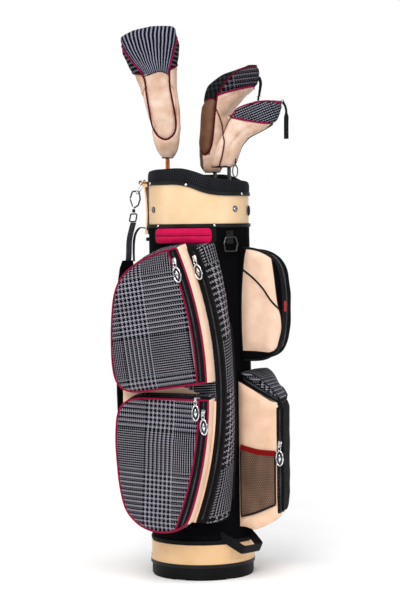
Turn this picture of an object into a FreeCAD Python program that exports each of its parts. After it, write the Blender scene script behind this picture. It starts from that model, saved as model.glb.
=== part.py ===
"""Golf cart bag with a driver, a fairway wood and a hybrid, each under a fabric headcover.

Frame: millimetres, +Z up. The origin is on the axis of the bag's tube, at the floor.
The two stacked ball pockets face -Y, the beige side pockets face +X, the strap is on -X.
Bearings (angles round the tube) start at -Y and grow towards +X.
"""
import FreeCAD, Part
import math
import os
import Sketcher
from FreeCAD import Placement, Rotation, Vector

os.makedirs("parts", exist_ok=True)
doc = FreeCAD.newDocument("golf_club_set")

DIMENSIONS = (
    # alias, value in millimetres or degrees, what it is
    ("tube_outer", 110, "outer radius of the fabric tube"),
    ("tube_inner", 107, "inner radius of the fabric tube"),
    ("tube_bottom", 27, "height of the tube's lower edge"),
    ("tube_top", 761.5, "height of the tube's upper edge"),
    ("boot_radius", 112, "radius of the moulded boot"),
    ("boot_height", 27, "height of the moulded boot"),
    ("foot_height", 4, "height of the feet under the boot"),
    ("base_radius", 114.5, "outer radius of the beige base band"),
    ("base_flat", 111.8, "distance of the base band's flats from the axis"),
    ("bead_radius", 115, "outer radius of the bead over the boot"),
    ("bead_height", 8, "height of the bead over the boot"),
    ("base_top", 77, "height of the beige base band's upper edge"),
    ("collar_outer", 109.5, "outer radius of the beige collar"),
    ("collar_inner", 105, "inner radius of the beige collar"),
    ("skirt_inner", 103.8, "inner radius of the collar's skirt inside the tube"),
    ("skirt_outer", 106.7, "outer radius of the collar's skirt inside the tube"),
    ("skirt_bottom", 732, "height of the skirt's lower edge"),
    ("trim_radius", 112.5, "outer radius of the black trims on the collar"),
    ("trim_height", 8, "height of the black trims on the collar"),
    ("rim_high", 854, "height of the collar's upper edge on the strap side"),
    ("rim_low", 829, "height of the collar's upper edge on the side pockets' side"),
    ("curve_start", -8, "x at which the collar's edge starts to fall"),
    ("curve_end", 102, "x at which the collar's edge is low"),
    ("rim_pad_height", 28, "height of the padded rim"),
    ("rim_pad_inner", 98, "inner radius of the padded rim"),
    ("rim_pad_outer", 111, "outer radius of the padded rim"),
    ("grid_bottom", 800, "height of the lower edge of the divider top"),
    ("grid_top", 822, "height of the upper edge of the divider top"),
    ("grid_radius", 103.4, "outer radius of the divider top"),
    ("divider_offset", 32, "distance of the two long dividers from the axis"),
    ("front_plane", 150, "distance of the full-length pocket's face from the axis"),
    ("upper_plane", 192, "distance of the upper ball pocket's face from the axis"),
    ("lower_plane", 179, "distance of the lower ball pocket's face from the axis"),
    ("arc_centre_x", -636, "x of the centre that the front zips curve about"),
    ("arc_centre_z", 410, "height of the centre that the front zips curve about"),
    ("garment_zip", 760, "radius of the full-length zip's curve"),
    ("upper_zip", 734, "radius of the upper ball pocket's zip curve"),
    ("lower_zip", 733, "radius of the lower ball pocket's zip curve"),
    ("upper_edge", 747, "radius of the upper ball pocket's curved edge"),
    ("lower_edge", 744, "radius of the lower ball pocket's curved edge"),
    ("tape_thickness", 1.2, "thickness of a zip tape"),
    ("tape_width", 15, "width of a zip tape"),
    ("pocket_root", 112, "reach from the axis at which the side pockets leave the tube"),
    ("grip_radius", 13, "radius of a club's grip at its butt"),
    ("grip_bottom", 34, "height at which a stored club's butt rests"),
    ("grip_length", 268, "length of a club's grip"),
    ("club_turn", 27, "bearing of the clubs' faces"),
)

sheet = doc.addObject("Spreadsheet::Sheet", "dims")
for row, (alias, value, meaning) in enumerate(DIMENSIONS, start=1):
    sheet.set(f"A{row}", meaning)
    sheet.set(f"B{row}", str(value))
    sheet.setAlias(f"B{row}", alias)
doc.recompute()

sub_parts = []


def size(alias):
    """A driving dimension's value."""
    return float(sheet.get(alias))


def keep(shape_object):
    """Lists an object as one of the sub-parts that are written to a file."""
    sub_parts.append(shape_object)
    return shape_object


def bind(item, **expressions):
    """Binds properties to the sheet."""
    for name, expression in expressions.items():
        item.setExpression(name, expression)


def at_bearing(degrees):
    """The turn that takes something made facing -Y to a bearing round the tube."""
    return Rotation(Vector(0, 0, 1), degrees)


# ---------------------------------------------------------------- PartDesign helpers


def new_body(label):
    body = doc.addObject("PartDesign::Body", label)
    body.Label = label
    return body


def new_sketch(body, plane, height="0"):
    """A sketch on one of the body's origin planes, lifted off it by an expression."""
    sketch = body.newObject("Sketcher::SketchObject", body.Label + "_sketch")
    support = [item for item in body.Origin.OriginFeatures if item.Role == plane]
    sketch.AttachmentSupport = [(support[0], "")]
    sketch.MapMode = "FlatFace"
    sketch.setExpression("AttachmentOffset.Base.z", height)
    return sketch


def add_circle(sketch, radius):
    """A circle on the sketch's origin, its radius bound to an expression."""
    index = sketch.addGeometry(Part.Circle(Vector(), Vector(0, 0, 1), 10))
    sketch.addConstraint(Sketcher.Constraint("Coincident", index, 3, -1, 1))
    constraint = sketch.addConstraint(Sketcher.Constraint("Radius", index, 10))
    sketch.setExpression(f"Constraints[{constraint}]", radius)


def add_outline(sketch, points):
    """A closed outline of straight edges through (x, y) points."""
    corners = [Vector(x, y, 0) for x, y in points]
    for start, end in zip(corners, corners[1:] + corners[:1]):
        sketch.addGeometry(Part.LineSegment(start, end))


def add_edges(sketch, edges):
    """Edges, each a tuple of two points for a line or of three points for an arc."""
    for edge in edges:
        points = [Vector(x, y, 0) for x, y in edge]
        kind = Part.LineSegment if len(points) == 2 else Part.Arc
        sketch.addGeometry(kind(*points))


def pad(body, sketch, length, both_ways=False):
    feature = body.newObject("PartDesign::Pad", body.Label + "_pad")
    feature.Profile = sketch
    feature.SideType = "Symmetric" if both_ways else "One side"
    feature.setExpression("Length", length)
    return feature


def pocket(body, sketch, length, both_ways=False, reversed_way=False):
    """Cuts a sketch out of the body and makes sure that something was cut."""
    doc.recompute()
    before = body.Shape.Volume
    feature = body.newObject("PartDesign::Pocket", body.Label + "_pocket")
    feature.Profile = sketch
    feature.SideType = "Symmetric" if both_ways else "One side"
    feature.Reversed = reversed_way
    feature.setExpression("Length", length)
    doc.recompute()
    assert body.Shape.Volume < before - 1, f"{body.Label}: the pocket cut nothing"
    return feature


def loft(body, sections, kind="PartDesign::AdditiveLoft"):
    """Lofts ellipses (height, middle, half width, half depth) lying across the body."""
    sketches = []
    for height, middle, half_width, half_depth in sections:
        sketch = new_sketch(body, "XY_Plane", str(height))
        tip = Vector(middle + half_width, 0, 0)
        side = Vector(middle, half_depth, 0)
        sketch.addGeometry(Part.Ellipse(tip, side, Vector(middle, 0, 0)))
        sketches.append(sketch)
    feature = body.newObject(kind, body.Label + "_loft")
    feature.Profile = sketches[0]
    feature.Sections = sketches[1:]
    feature.Ruled = True
    return feature


def outline_loft(body, sections, kind="PartDesign::AdditiveLoft"):
    """Lofts (y, outline) sections, each outline drawn across the Y axis."""
    sketches = []
    for y, outline in sections:
        sketch = new_sketch(body, "XZ_Plane", str(-y))
        add_outline(sketch, outline)
        sketches.append(sketch)
    feature = body.newObject(kind, f"{body.Label}_{len(body.Group)}_loft")
    feature.Profile = sketches[0]
    feature.Sections = sketches[1:]
    feature.Ruled = True
    return feature


def revolve(body, points, angle=360, both_ways=False):
    """Turns an outline of (radius, height) points about the body's Z axis."""
    sketch = new_sketch(body, "XZ_Plane")
    add_outline(sketch, points)
    feature = body.newObject("PartDesign::Revolution", body.Label + "_revolution")
    feature.Profile = sketch
    feature.ReferenceAxis = (sketch, ["V_Axis"])
    feature.Angle = angle
    feature.Midplane = both_ways
    return feature


def ring_body(label, outer, inner, bottom, height):
    """A plain ring round the tube's axis."""
    body = new_body(label)
    sketch = new_sketch(body, "XY_Plane", bottom)
    add_circle(sketch, outer)
    add_circle(sketch, inner)
    pad(body, sketch, height)
    return body


# ---------------------------------------------------------------- Part helpers


def simple(kind, label, placement=None, **expressions):
    """A Part primitive with its sizes bound."""
    item = doc.addObject(kind, label)
    bind(item, **expressions)
    if placement:
        item.Placement = placement
    return item


def cut(label, base, tool):
    item = doc.addObject("Part::Cut", label)
    item.Base = base
    item.Tool = tool
    return item


def fuse(label, shapes):
    item = doc.addObject("Part::MultiFuse", label)
    item.Shapes = shapes
    return item


def group(label, shapes):
    """Several equal pieces under one name."""
    item = doc.addObject("Part::Compound", label)
    item.Links = shapes
    return item


def outward(bearing, radius, height):
    """Places a cylinder so that it runs outward from the tube at a bearing."""
    turn = at_bearing(bearing)
    start = turn.multVec(Vector(0, -radius, height))
    return Placement(start, turn * Rotation(Vector(1, 0, 0), 90))


def bent_rod(label, points, wire_radius, bend, closed=False):
    """A round rod along straight runs joined by tangent arcs of one bend radius."""
    points = [Vector(*point) for point in points]
    count = len(points)
    corners = range(count) if closed else range(1, count - 1)
    trimmed = {}
    for index in corners:
        corner = points[index]
        back = (points[index - 1] - corner).normalize()
        ahead = (points[(index + 1) % count] - corner).normalize()
        half_turn = (math.pi - back.getAngle(ahead)) / 2
        length = bend * math.tan(half_turn)
        start = corner + back * length
        end = corner + ahead * length
        inward = (back + ahead).normalize()
        middle = corner + inward * (bend / math.cos(half_turn) - bend)
        trimmed[index] = (start, middle, end)
    edges = []
    for index in range(count if closed else count - 1):
        after = (index + 1) % count
        start = trimmed[index][2] if index in trimmed else points[index]
        end = trimmed[after][0] if after in trimmed else points[after]
        if start.distanceToPoint(end) > 1e-4:
            edges.append(Part.LineSegment(start, end).toShape())
        if after in trimmed:
            edges.append(Part.Arc(*trimmed[after]).toShape())
    path = Part.Wire(edges)
    first = edges[0]
    heading = first.tangentAt(first.FirstParameter)
    start = first.valueAt(first.FirstParameter)
    section = Part.Wire(Part.makeCircle(wire_radius, start, heading))
    item = doc.addObject("Part::Feature", label)
    item.Shape = path.makePipeShell([section], True, False)
    return item


# ---------------------------------------------------------------- base and tube


def make_boot():
    """The moulded boot: a disc on a round middle foot and six feet at its edge."""
    body = new_body("base_boot")
    disc = new_sketch(body, "XY_Plane", "dims.foot_height")
    add_circle(disc, "dims.boot_radius")
    pad(body, disc, "dims.boot_height - dims.foot_height")
    middle = new_sketch(body, "XY_Plane")
    add_circle(middle, "dims.boot_radius * 0.36")
    pad(body, middle, "dims.foot_height + 1")
    foot = new_sketch(body, "XY_Plane")
    outer = size("boot_radius") - 2
    inner = size("boot_radius") * 0.66
    half = math.radians(23)
    ends = [(radius * math.cos(half), radius * math.sin(half)) for radius in (outer, inner)]
    add_edges(foot, (
        ((ends[0][0], -ends[0][1]), (outer, 0), ends[0]),
        (ends[0], ends[1]),
        (ends[1], (inner, 0), (ends[1][0], -ends[1][1])),
        ((ends[1][0], -ends[1][1]), (ends[0][0], -ends[0][1])),
    ))
    foot_pad = pad(body, foot, "dims.foot_height + 1")
    doc.recompute()
    feet = body.newObject("PartDesign::PolarPattern", "base_boot_feet")
    feet.Originals = [foot_pad]
    feet.Axis = (foot, ["N_Axis"])
    feet.Angle = 360
    feet.Occurrences = 6
    body.Tip = feet
    return keep(body)


def make_base_shell():
    """The beige band over the boot, with four moulded flats."""
    body = ring_body("base_shell", "dims.base_radius", "dims.tube_outer",
                     "dims.boot_height + dims.bead_height",
                     "dims.base_top - dims.boot_height - dims.bead_height")
    flats = new_sketch(body, "XY_Plane", "dims.base_top")
    near = size("base_flat")
    far = size("base_radius") + 5
    half = 40
    for bearing in (-58, 70, 122, 238):
        turn = at_bearing(bearing)
        corners = [(-half, -far), (half, -far), (half, -near), (-half, -near)]
        placed = [turn.multVec(Vector(x, y, 0)) for x, y in corners]
        add_outline(flats, [(point.x, point.y) for point in placed])
    pocket(body, flats, "dims.base_top - dims.boot_height - dims.bead_height - 8")
    return keep(body)


def make_tube():
    keep(ring_body("base_bead", "dims.bead_radius", "dims.tube_outer",
                   "dims.boot_height", "dims.bead_height"))
    keep(ring_body("body_tube", "dims.tube_outer", "dims.tube_inner",
                   "dims.tube_bottom", "dims.tube_top - dims.tube_bottom"))
    keep(simple("Part::Cylinder", "tube_floor", Radius="dims.tube_inner",
                Height="dims.grip_bottom - dims.boot_height - 1",
                **{"Placement.Base.z": "dims.boot_height"}))


# ---------------------------------------------------------------- collar and rim


def falling_edge(lift, cap):
    """Edges that close the space between the collar's falling edge and a height.

    lift is how far above the collar's own edge the curve runs.
    """
    start = size("curve_start")
    end = size("curve_end")
    high = size("rim_high") + lift
    low = size("rim_low") + lift
    fall = high - low
    run = end - start
    bend = (run ** 2 + fall ** 2) / (4 * fall)
    half_turn = math.asin(run / 2 / bend) / 2
    reach = bend * math.sin(half_turn)
    drop = bend * (1 - math.cos(half_turn))
    middle = ((start + end) / 2, (high + low) / 2)
    side = 130
    return (
        ((-side, high), (start, high)),
        ((start, high), (start + reach, high - drop), middle),
        (middle, (end - reach, low + drop), (end, low)),
        ((end, low), (side, low)),
        ((side, low), (side, cap)),
        ((side, cap), (-side, cap)),
        ((-side, cap), (-side, high)),
    )


def edge_height(x):
    """The height of the collar's falling edge at an x."""
    start = size("curve_start")
    end = size("curve_end")
    high = size("rim_high")
    low = size("rim_low")
    run = end - start
    fall = high - low
    bend = (run ** 2 + fall ** 2) / (4 * fall)
    if x <= start:
        return high
    if x >= end:
        return low
    if x < (start + end) / 2:
        return high - bend + math.sqrt(bend ** 2 - (x - start) ** 2)
    return low + bend - math.sqrt(bend ** 2 - (end - x) ** 2)


def cut_above(body, lift):
    """Trims a ring so that it ends at the falling edge, lifted."""
    sketch = new_sketch(body, "XZ_Plane")
    add_edges(sketch, falling_edge(lift, 960))
    pocket(body, sketch, "300", both_ways=True)


def cut_below(body, lift):
    """Trims a ring so that it starts at the falling edge, lifted."""
    sketch = new_sketch(body, "XZ_Plane")
    add_edges(sketch, falling_edge(lift, 700))
    pocket(body, sketch, "300", both_ways=True)


def make_collar():
    shell = ring_body("collar_shell", "dims.collar_outer", "dims.collar_inner",
                      "dims.tube_top", "120")
    skirt = new_sketch(shell, "XY_Plane", "dims.skirt_bottom")
    add_circle(skirt, "dims.skirt_outer")
    add_circle(skirt, "dims.skirt_inner")
    pad(shell, skirt, "dims.tube_top - dims.skirt_bottom + 3")
    cut_above(shell, 0)
    keep(shell)
    keep(ring_body("collar_lower_trim", "dims.trim_radius", "dims.collar_outer",
                   "dims.tube_top", "dims.trim_height"))
    upper = ring_body("collar_upper_trim", "dims.trim_radius", "dims.collar_inner", "810", "80")
    cut_above(upper, size("trim_height"))
    cut_below(upper, 0)
    keep(upper)
    rim = ring_body("rim_pad", "dims.rim_pad_outer", "dims.rim_pad_inner", "810", "100")
    cut_above(rim, size("trim_height") + size("rim_pad_height"))
    cut_below(rim, size("trim_height"))
    keep(rim)


def make_fasteners():
    """Domed rivets in the two trims and large slotted screws in the beige collar."""
    pieces = []
    rivet = 2.8
    for bearing in (-43, 13, 83, 140, 215):
        x = size("trim_radius") * math.sin(math.radians(bearing))
        height = edge_height(x) + size("trim_height") / 2
        pieces.append((bearing, size("trim_radius"), height, rivet))
    for bearing in (-25, 44, 118, 205):
        height = size("tube_top") + size("trim_height") / 2
        pieces.append((bearing, size("trim_radius"), height, rivet))
    for bearing in (-36.5, 72.3, 145, 222):
        pieces.append((bearing, size("collar_outer"), 801, 5.5))
    made = []
    for index, (bearing, radius, height, head) in enumerate(pieces):
        made.append(simple("Part::Cone", f"fastener_{index}", outward(bearing, radius - 0.2, height),
                           Radius1=str(head), Radius2=str(0.65 * head), Height="2.2"))
    keep(group("collar_fasteners", made))


def make_collar_handle():
    """The moulded grip that stands off the collar on the strap side."""
    body = new_body("collar_handle")
    wall = 3
    outer = ((122.5, 858), (117.5, 826), (115.8, 795), (117, 768), (120, 748))
    inner = [(radius - wall, height) for radius, height in reversed(outer)]
    lugs = ((112.7, 748), (112.7, 756))
    points = list(outer) + [lugs[0], lugs[1], (116, 757)] + inner[1:-1] + [(118, 851), (112.7, 852),
                                                                         (112.7, 858)]
    revolve(body, points, angle=36, both_ways=True)
    body.Placement = Placement(Vector(), Rotation(Vector(0, 0, 1), 188))
    return keep(body)


def make_dividers():
    """Three long fabric dividers, and the padded top that spreads them."""
    offset = size("divider_offset")
    floor = size("grip_bottom")
    top = size("grid_bottom")
    radius = size("grid_radius")

    def cross(label, half, bottom, height, reach):
        chord = math.sqrt(reach ** 2 - (offset + half) ** 2)
        walls = [(-chord, chord, sign * offset - half, sign * offset + half) for sign in (-1, 1)]
        walls.append((-half, half, -math.sqrt(reach ** 2 - half ** 2), offset - half))
        boxes = []
        for index, (x0, x1, y0, y1) in enumerate(walls):
            spot = Placement(Vector(x0, y0, bottom), Rotation())
            boxes.append(simple("Part::Box", f"{label}_{index}", spot, Length=str(x1 - x0),
                                Width=str(y1 - y0), Height=str(height)))
        return boxes

    keep(fuse("divider_panels", cross("divider_panel", 1, floor, top - floor, radius)))
    bars = cross("divider_bar", 3.5, top, size("grid_top") - top, radius)
    rim = ring_body("divider_rim", "dims.grid_radius", "dims.grid_radius - 5",
                    "dims.grid_bottom", "dims.grid_top - dims.grid_bottom")
    keep(fuse("divider_top", bars + [rim]))


# ---------------------------------------------------------------- pockets


def arc_x(radius, height):
    """The x of a curve about the zips' centre, at a height."""
    rise = height - size("arc_centre_z")
    return size("arc_centre_x") + math.sqrt(radius ** 2 - rise ** 2)


def clear_of_tube(label, body, gap=0.1):
    """Cuts the tube's round out of a pocket that lies against it."""
    tool = simple("Part::Cylinder", label + "_tube_space", Radius=f"dims.tube_outer + {gap}",
                  Height="900")
    return keep(cut(label, body, tool))


def make_garment_pocket():
    """The full-length pocket: its curved edge leans back from its face to the tube."""
    body = new_body("garment_pocket_body")
    bottom = 135
    middle = size("arc_centre_z")
    edge = size("garment_zip") + 12
    face_top = 722
    face = ((arc_x(edge, face_top), face_top), (arc_x(edge, middle), middle),
            (arc_x(edge, bottom), bottom))
    face_left = ((-80, bottom), (-112, 170), (-114, 640), (-101, 673), (-58, 700), (22, 725))
    back = ((75, 722), (103.3, middle), (92, bottom))
    back_left = ((-70, bottom), (-102, 170), (-104, 640), (-96, 690), (-58, 716), (22, 725))
    sketches = []
    for plane, curve, left in (("dims.front_plane", face, face_left), ("45", back, back_left)):
        outline = (curve[2],) + left + (curve[0],)
        sketch = new_sketch(body, "XZ_Plane", plane)
        add_edges(sketch, (curve,) + tuple(zip(outline, outline[1:])))
        sketches.append(sketch)
    feature = body.newObject("PartDesign::AdditiveLoft", "garment_pocket_loft")
    feature.Profile = sketches[0]
    feature.Sections = [sketches[1]]
    feature.Ruled = True
    clear_of_tube("garment_pocket", body)


def make_ball_pockets():
    """The two stacked ball pockets in front of the full-length pocket."""
    upper = new_body("upper_ball_pocket")
    edge = size("upper_edge")
    left = ((arc_x(edge, 438), 438), (-48, 414), (-72, 412), (-95, 418.5), (-108, 433.5),
            (-115, 474), (-115.6, 540), (-112, 594), (-106, 630), (-86.5, 664), (-43, 693),
            (6, 712), (arc_x(edge, 719), 719))
    sketch = new_sketch(upper, "XZ_Plane", "dims.front_plane + 0.2")
    add_edges(sketch, [(left[-1], (arc_x(edge, 600), 600), left[0])] + list(zip(left, left[1:])))
    pad(upper, sketch, "dims.upper_plane - dims.front_plane - 0.2")
    keep(upper)
    lower = new_body("lower_ball_pocket")
    edge = size("lower_edge")
    left = ((arc_x(edge, 131), 131), (18.5, 115), (-26.6, 113), (-62.6, 125.7), (-95, 155.7),
            (-108.6, 214), (-115.8, 300), (-112.5, 361.7), (-100.6, 388.6), (-69, 399),
            (arc_x(edge, 399), 399))
    sketch = new_sketch(lower, "XZ_Plane", "dims.front_plane + 0.2")
    add_edges(sketch, [(left[-1], (arc_x(edge, 260), 260), left[0])] + list(zip(left, left[1:])))
    pad(lower, sketch, "dims.lower_plane - dims.front_plane - 0.2")
    keep(lower)


def rounded_behind(outline, stations):
    """Sections of a side pocket, each drawn in towards the tube.

    A station is (y, share of the reach beyond the tube, share of the height).
    """
    tube_side = size("pocket_root")
    heights = [height for x, height in outline]
    middle = (min(heights) + max(heights)) / 2
    sections = []
    for y, reach, tall in stations:
        sections.append((y, [(x if x < tube_side else tube_side + (x - tube_side) * reach,
                              middle + (height - middle) * tall) for x, height in outline]))
    return sections


def make_side_pockets():
    """The beige pockets on +X: a bulging upper one and a hollow cooler with a mesh pouch."""
    upper = new_body("side_upper_pocket_body")
    outline = ((90, 717), (146, 716), (186, 699), (196, 692), (207, 660), (212, 610), (211, 550),
               (203, 505), (190, 484), (165, 474), (90, 474))
    outline_loft(upper, rounded_behind(outline, ((-23, 1, 1), (28, 0.93, 0.97), (70, 0.72, 0.9),
                                                 (95, 0.42, 0.8))))
    clear_of_tube("side_upper_pocket", upper)

    cooler = new_body("cooler_body")
    outline = ((90, 440), (112, 425), (150, 405), (182, 387), (206, 383), (214, 370), (213, 180),
               (208, 150), (180, 124), (142, 106), (120, 112), (90, 112))
    outline_loft(cooler, rounded_behind(outline, ((-30, 1, 1), (15, 0.9, 1), (60, 0.72, 1),
                                                  (100, 0.45, 1))))
    hollow = ((117, 450), (117, 128), (141, 113), (176, 131), (202, 157), (206, 182), (206, 450))
    outline_loft(cooler, rounded_behind(hollow, ((-26, 1, 1), (15, 0.9, 1), (60, 0.72, 1),
                                                 (96, 0.477, 1))), "PartDesign::SubtractiveLoft")
    clear_of_tube("side_lower_pocket", cooler)

    lid = new_body("cooler_lid")
    outline = ((114, 448), (135, 447), (160, 433), (184, 412), (204, 394), (206, 387),
               (185, 388.5), (152, 407), (117, 426), (112.6, 431))
    outline_loft(lid, rounded_behind(outline, ((-30, 1, 1), (15, 0.9, 1), (60, 0.72, 1),
                                               (100, 0.45, 1))))
    keep(lid)

    pouch = new_body("mesh_pouch")
    sketch = new_sketch(pouch, "XZ_Plane", "30.2")
    add_outline(sketch, ((112, 288), (112, 116), (150, 137), (192.5, 181), (192.5, 279), (155, 281)))
    pad(pouch, sketch, "9")
    mouth = new_sketch(pouch, "XZ_Plane", "30.2")
    add_outline(mouth, ((114, 300), (114, 120), (149, 140), (190.5, 183), (190.5, 300)))
    pocket(pouch, mouth, "6.5", reversed_way=True)
    keep(pouch)


def make_strap_side_pocket():
    """The slim full-length pocket under the shoulder strap."""
    body = new_body("strap_side_pocket_body")
    outline = ((-90, 650), (-125, 645), (-150, 615), (-160, 540), (-161, 330), (-154, 205),
               (-135, 160), (-90, 150))
    sketch = new_sketch(body, "XZ_Plane", "42")
    add_outline(sketch, outline)
    pad(body, sketch, "120").Reversed = True
    clear_of_tube("strap_side_pocket", body)


# ---------------------------------------------------------------- zips


def arc_tape(label, radius, top, bottom, plane):
    """A curved zip tape on a pocket's face."""
    body = new_body(label)
    outer = radius + size("tape_width") / 2
    inner = radius - size("tape_width") / 2
    middle = (top + bottom) / 2
    sketch = new_sketch(body, "XZ_Plane", plane)
    corners = [[(arc_x(edge, height), height) for height in (top, middle, bottom)]
               for edge in (outer, inner)]
    add_edges(sketch, (
        tuple(corners[0]),
        (corners[0][2], corners[1][2]),
        tuple(reversed(corners[1])),
        (corners[1][0], corners[0][0]),
    ))
    pad(body, sketch, "dims.tape_thickness")
    return body


def make_tapes():
    tapes = [
        arc_tape("upper_zip_tape", size("upper_zip"), 708, 436, "dims.upper_plane"),
        arc_tape("garment_zip_tape", size("garment_zip"), 714, 140, "dims.front_plane"),
        arc_tape("lower_zip_tape", size("lower_zip"), 392, 128, "dims.lower_plane"),
    ]
    top_tape = Placement(Vector(-66, -177.5, 399), Rotation())
    tapes.append(simple("Part::Box", "top_zip_tape", top_tape, Length="160", Width="14",
                        Height="dims.tape_thickness"))
    side_tape = Placement(Vector(199, -31.2, 190), Rotation())
    tapes.append(simple("Part::Box", "side_zip_tape", side_tape, Length="13",
                        Width="dims.tape_thickness", Height="180"))
    keep(group("zip_tapes", tapes))


def make_slider(label, place):
    """A zip slider: a shield-shaped plate with a bail on its front."""
    body = new_body(label)
    plate = new_sketch(body, "XZ_Plane", "0")
    add_outline(plate, ((-4, 6), (4, 6), (4.8, 3), (3.2, -6.5), (-3.2, -6.5), (-4.8, 3)))
    pad(body, plate, "3")
    bail = new_sketch(body, "XZ_Plane", "2.5")
    add_outline(bail, ((-1.4, 4.5), (1.4, 4.5), (1.4, -4), (-1.4, -4)))
    pad(body, bail, "2")
    body.Placement = place
    keep(body)


def make_pull(label, place, arm=0):
    """A pull hanging from a slider's bail: a short link and an oval medallion.

    arm is how far the link reaches back over the pocket's edge.
    """
    body = new_body(label)
    link = new_sketch(body, "XZ_Plane", "-1.1")
    add_outline(link, ((-2, 1.4), (2, 1.4), (2.6, -3), (2.6, -13), (3, -17), (-3, -17),
                       (-2.6, -13), (-2.6, -3)))
    pad(body, link, "2.2")
    medal = new_sketch(body, "XZ_Plane", "-1.3")
    centre = Vector(0, -30.5, 0)
    medal.addGeometry(Part.Ellipse(Vector(0, -14, 0), Vector(8.5, -30.5, 0), centre))
    pad(body, medal, "2.6")
    if arm:
        reach = new_sketch(body, "XZ_Plane", str(-arm))
        add_outline(reach, ((-2, 1.4), (2, 1.4), (2, -0.8), (-2, -0.8)))
        pad(body, reach, str(arm))
    body.Placement = place
    keep(body)


def make_zip_pulls():
    """Each slider stands 0.4 mm off its tape, and its pull hangs in front of it."""
    gap = size("tape_thickness") + 0.4
    front = 6.8
    spots = (
        # name, x, plane, height, lean of the slider and of its pull from the vertical
        ("upper_zip", arc_x(size("upper_zip"), 693), size("upper_plane"), 693, 22.5, 14),
        ("garment_zip", arc_x(size("garment_zip"), 697), size("front_plane"), 697, 22, 17),
        ("lower_zip", arc_x(size("lower_zip") + 2, 374), size("lower_plane"), 374, -3, 4),
        ("side_zip", 205.5, 30, 296, 0, 0),
    )
    for name, x, plane, height, slider_lean, pull_lean in spots:
        place = Vector(x, -plane - gap, height)
        make_slider(name + "_slider", Placement(place, Rotation(Vector(0, 1, 0), -slider_lean)))
        place = Vector(x, -plane - gap - front, height)
        make_pull(name + "_pull", Placement(place, Rotation(Vector(0, 1, 0), -pull_lean)))
    lay_flat = Rotation(Vector(0, 0, 1), 90) * Rotation(Vector(1, 0, 0), -90)
    x = 80
    height = 399 + gap
    make_slider("top_zip_slider", Placement(Vector(x, -170.5, height), lay_flat))
    make_pull("top_zip_pull", Placement(Vector(x, -182, height + 2.2), Rotation()), arm=4.8)


# ---------------------------------------------------------------- handles, ring and strap


def sector(label, inner, outer, start, end, bottom, height):
    """Part of a ring between two bearings."""
    item = doc.addObject("Part::Cut", label)
    item.Base = simple("Part::Cylinder", label + "_outside", Radius=outer, Height=str(height),
                       Angle=str(end - start))
    item.Tool = simple("Part::Cylinder", label + "_inside", Radius=inner, Height=str(height + 2),
                       Angle="360", **{"Placement.Base.z": "-1"})
    item.Placement = Placement(Vector(0, 0, bottom), Rotation(Vector(0, 0, 1), start - 90))
    return item


def make_grab_handle():
    """The padded pink handle, sewn down at both ends, with room for fingers behind it."""
    pad_ring = sector("handle_pad", "dims.tube_outer + 7", "dims.tube_outer + 17", -22, 41, 728, 32)
    left = sector("handle_left_end", "dims.tube_outer + 0.2", "dims.tube_outer + 12", -27, -22,
                  731, 26)
    right = sector("handle_right_end", "dims.tube_outer + 0.2", "dims.tube_outer + 12", 41, 46,
                   731, 26)
    keep(fuse("grab_handle", [pad_ring, left, right]))


def make_towel_ring():
    """A sewn tab with a rivet, and the D-ring that hangs in front of it."""
    bearing = 62.7
    turn = at_bearing(bearing)
    tab = simple("Part::Box", "towel_tab_strip",
                 Placement(turn.multVec(Vector(-9, -113, 726)), turn),
                 Length="18", Width="2.2", Height="28")
    rivet = simple("Part::Cylinder", "towel_tab_rivet", outward(bearing, 112.5, 750),
                   Radius="3", Height="3")
    keep(fuse("towel_ring_tab", [tab, rivet]))
    wire = 2
    plane = -115.6
    corners = ((-13, plane, 740), (13, plane, 740), (18, plane, 726), (15, plane, 710),
               (-15, plane, 710), (-18, plane, 726))
    placed = [tuple(turn.multVec(Vector(*corner))) for corner in corners]
    keep(bent_rod("towel_ring", placed, wire, 4, closed=True))


def make_lift_loop():
    """The webbing loop low on the side, for lifting the bag by its base."""
    body = new_body("lift_loop")
    reach = 40
    wall = 2.6
    sketch = new_sketch(body, "XY_Plane", "-11")
    add_outline(sketch, ((-40, 0), (-30, -reach), (30, -reach), (40, 0), (40 - wall * 1.1, 0),
                         (28, -reach + wall), (-28, -reach + wall), (-40 + wall * 1.1, 0)))
    pad(body, sketch, "22")
    turn = at_bearing(72) * Rotation(Vector(1, 0, 0), 28)
    body.Placement = Placement(at_bearing(72).multVec(Vector(0, -116, 87)), turn)
    return keep(body)


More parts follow.
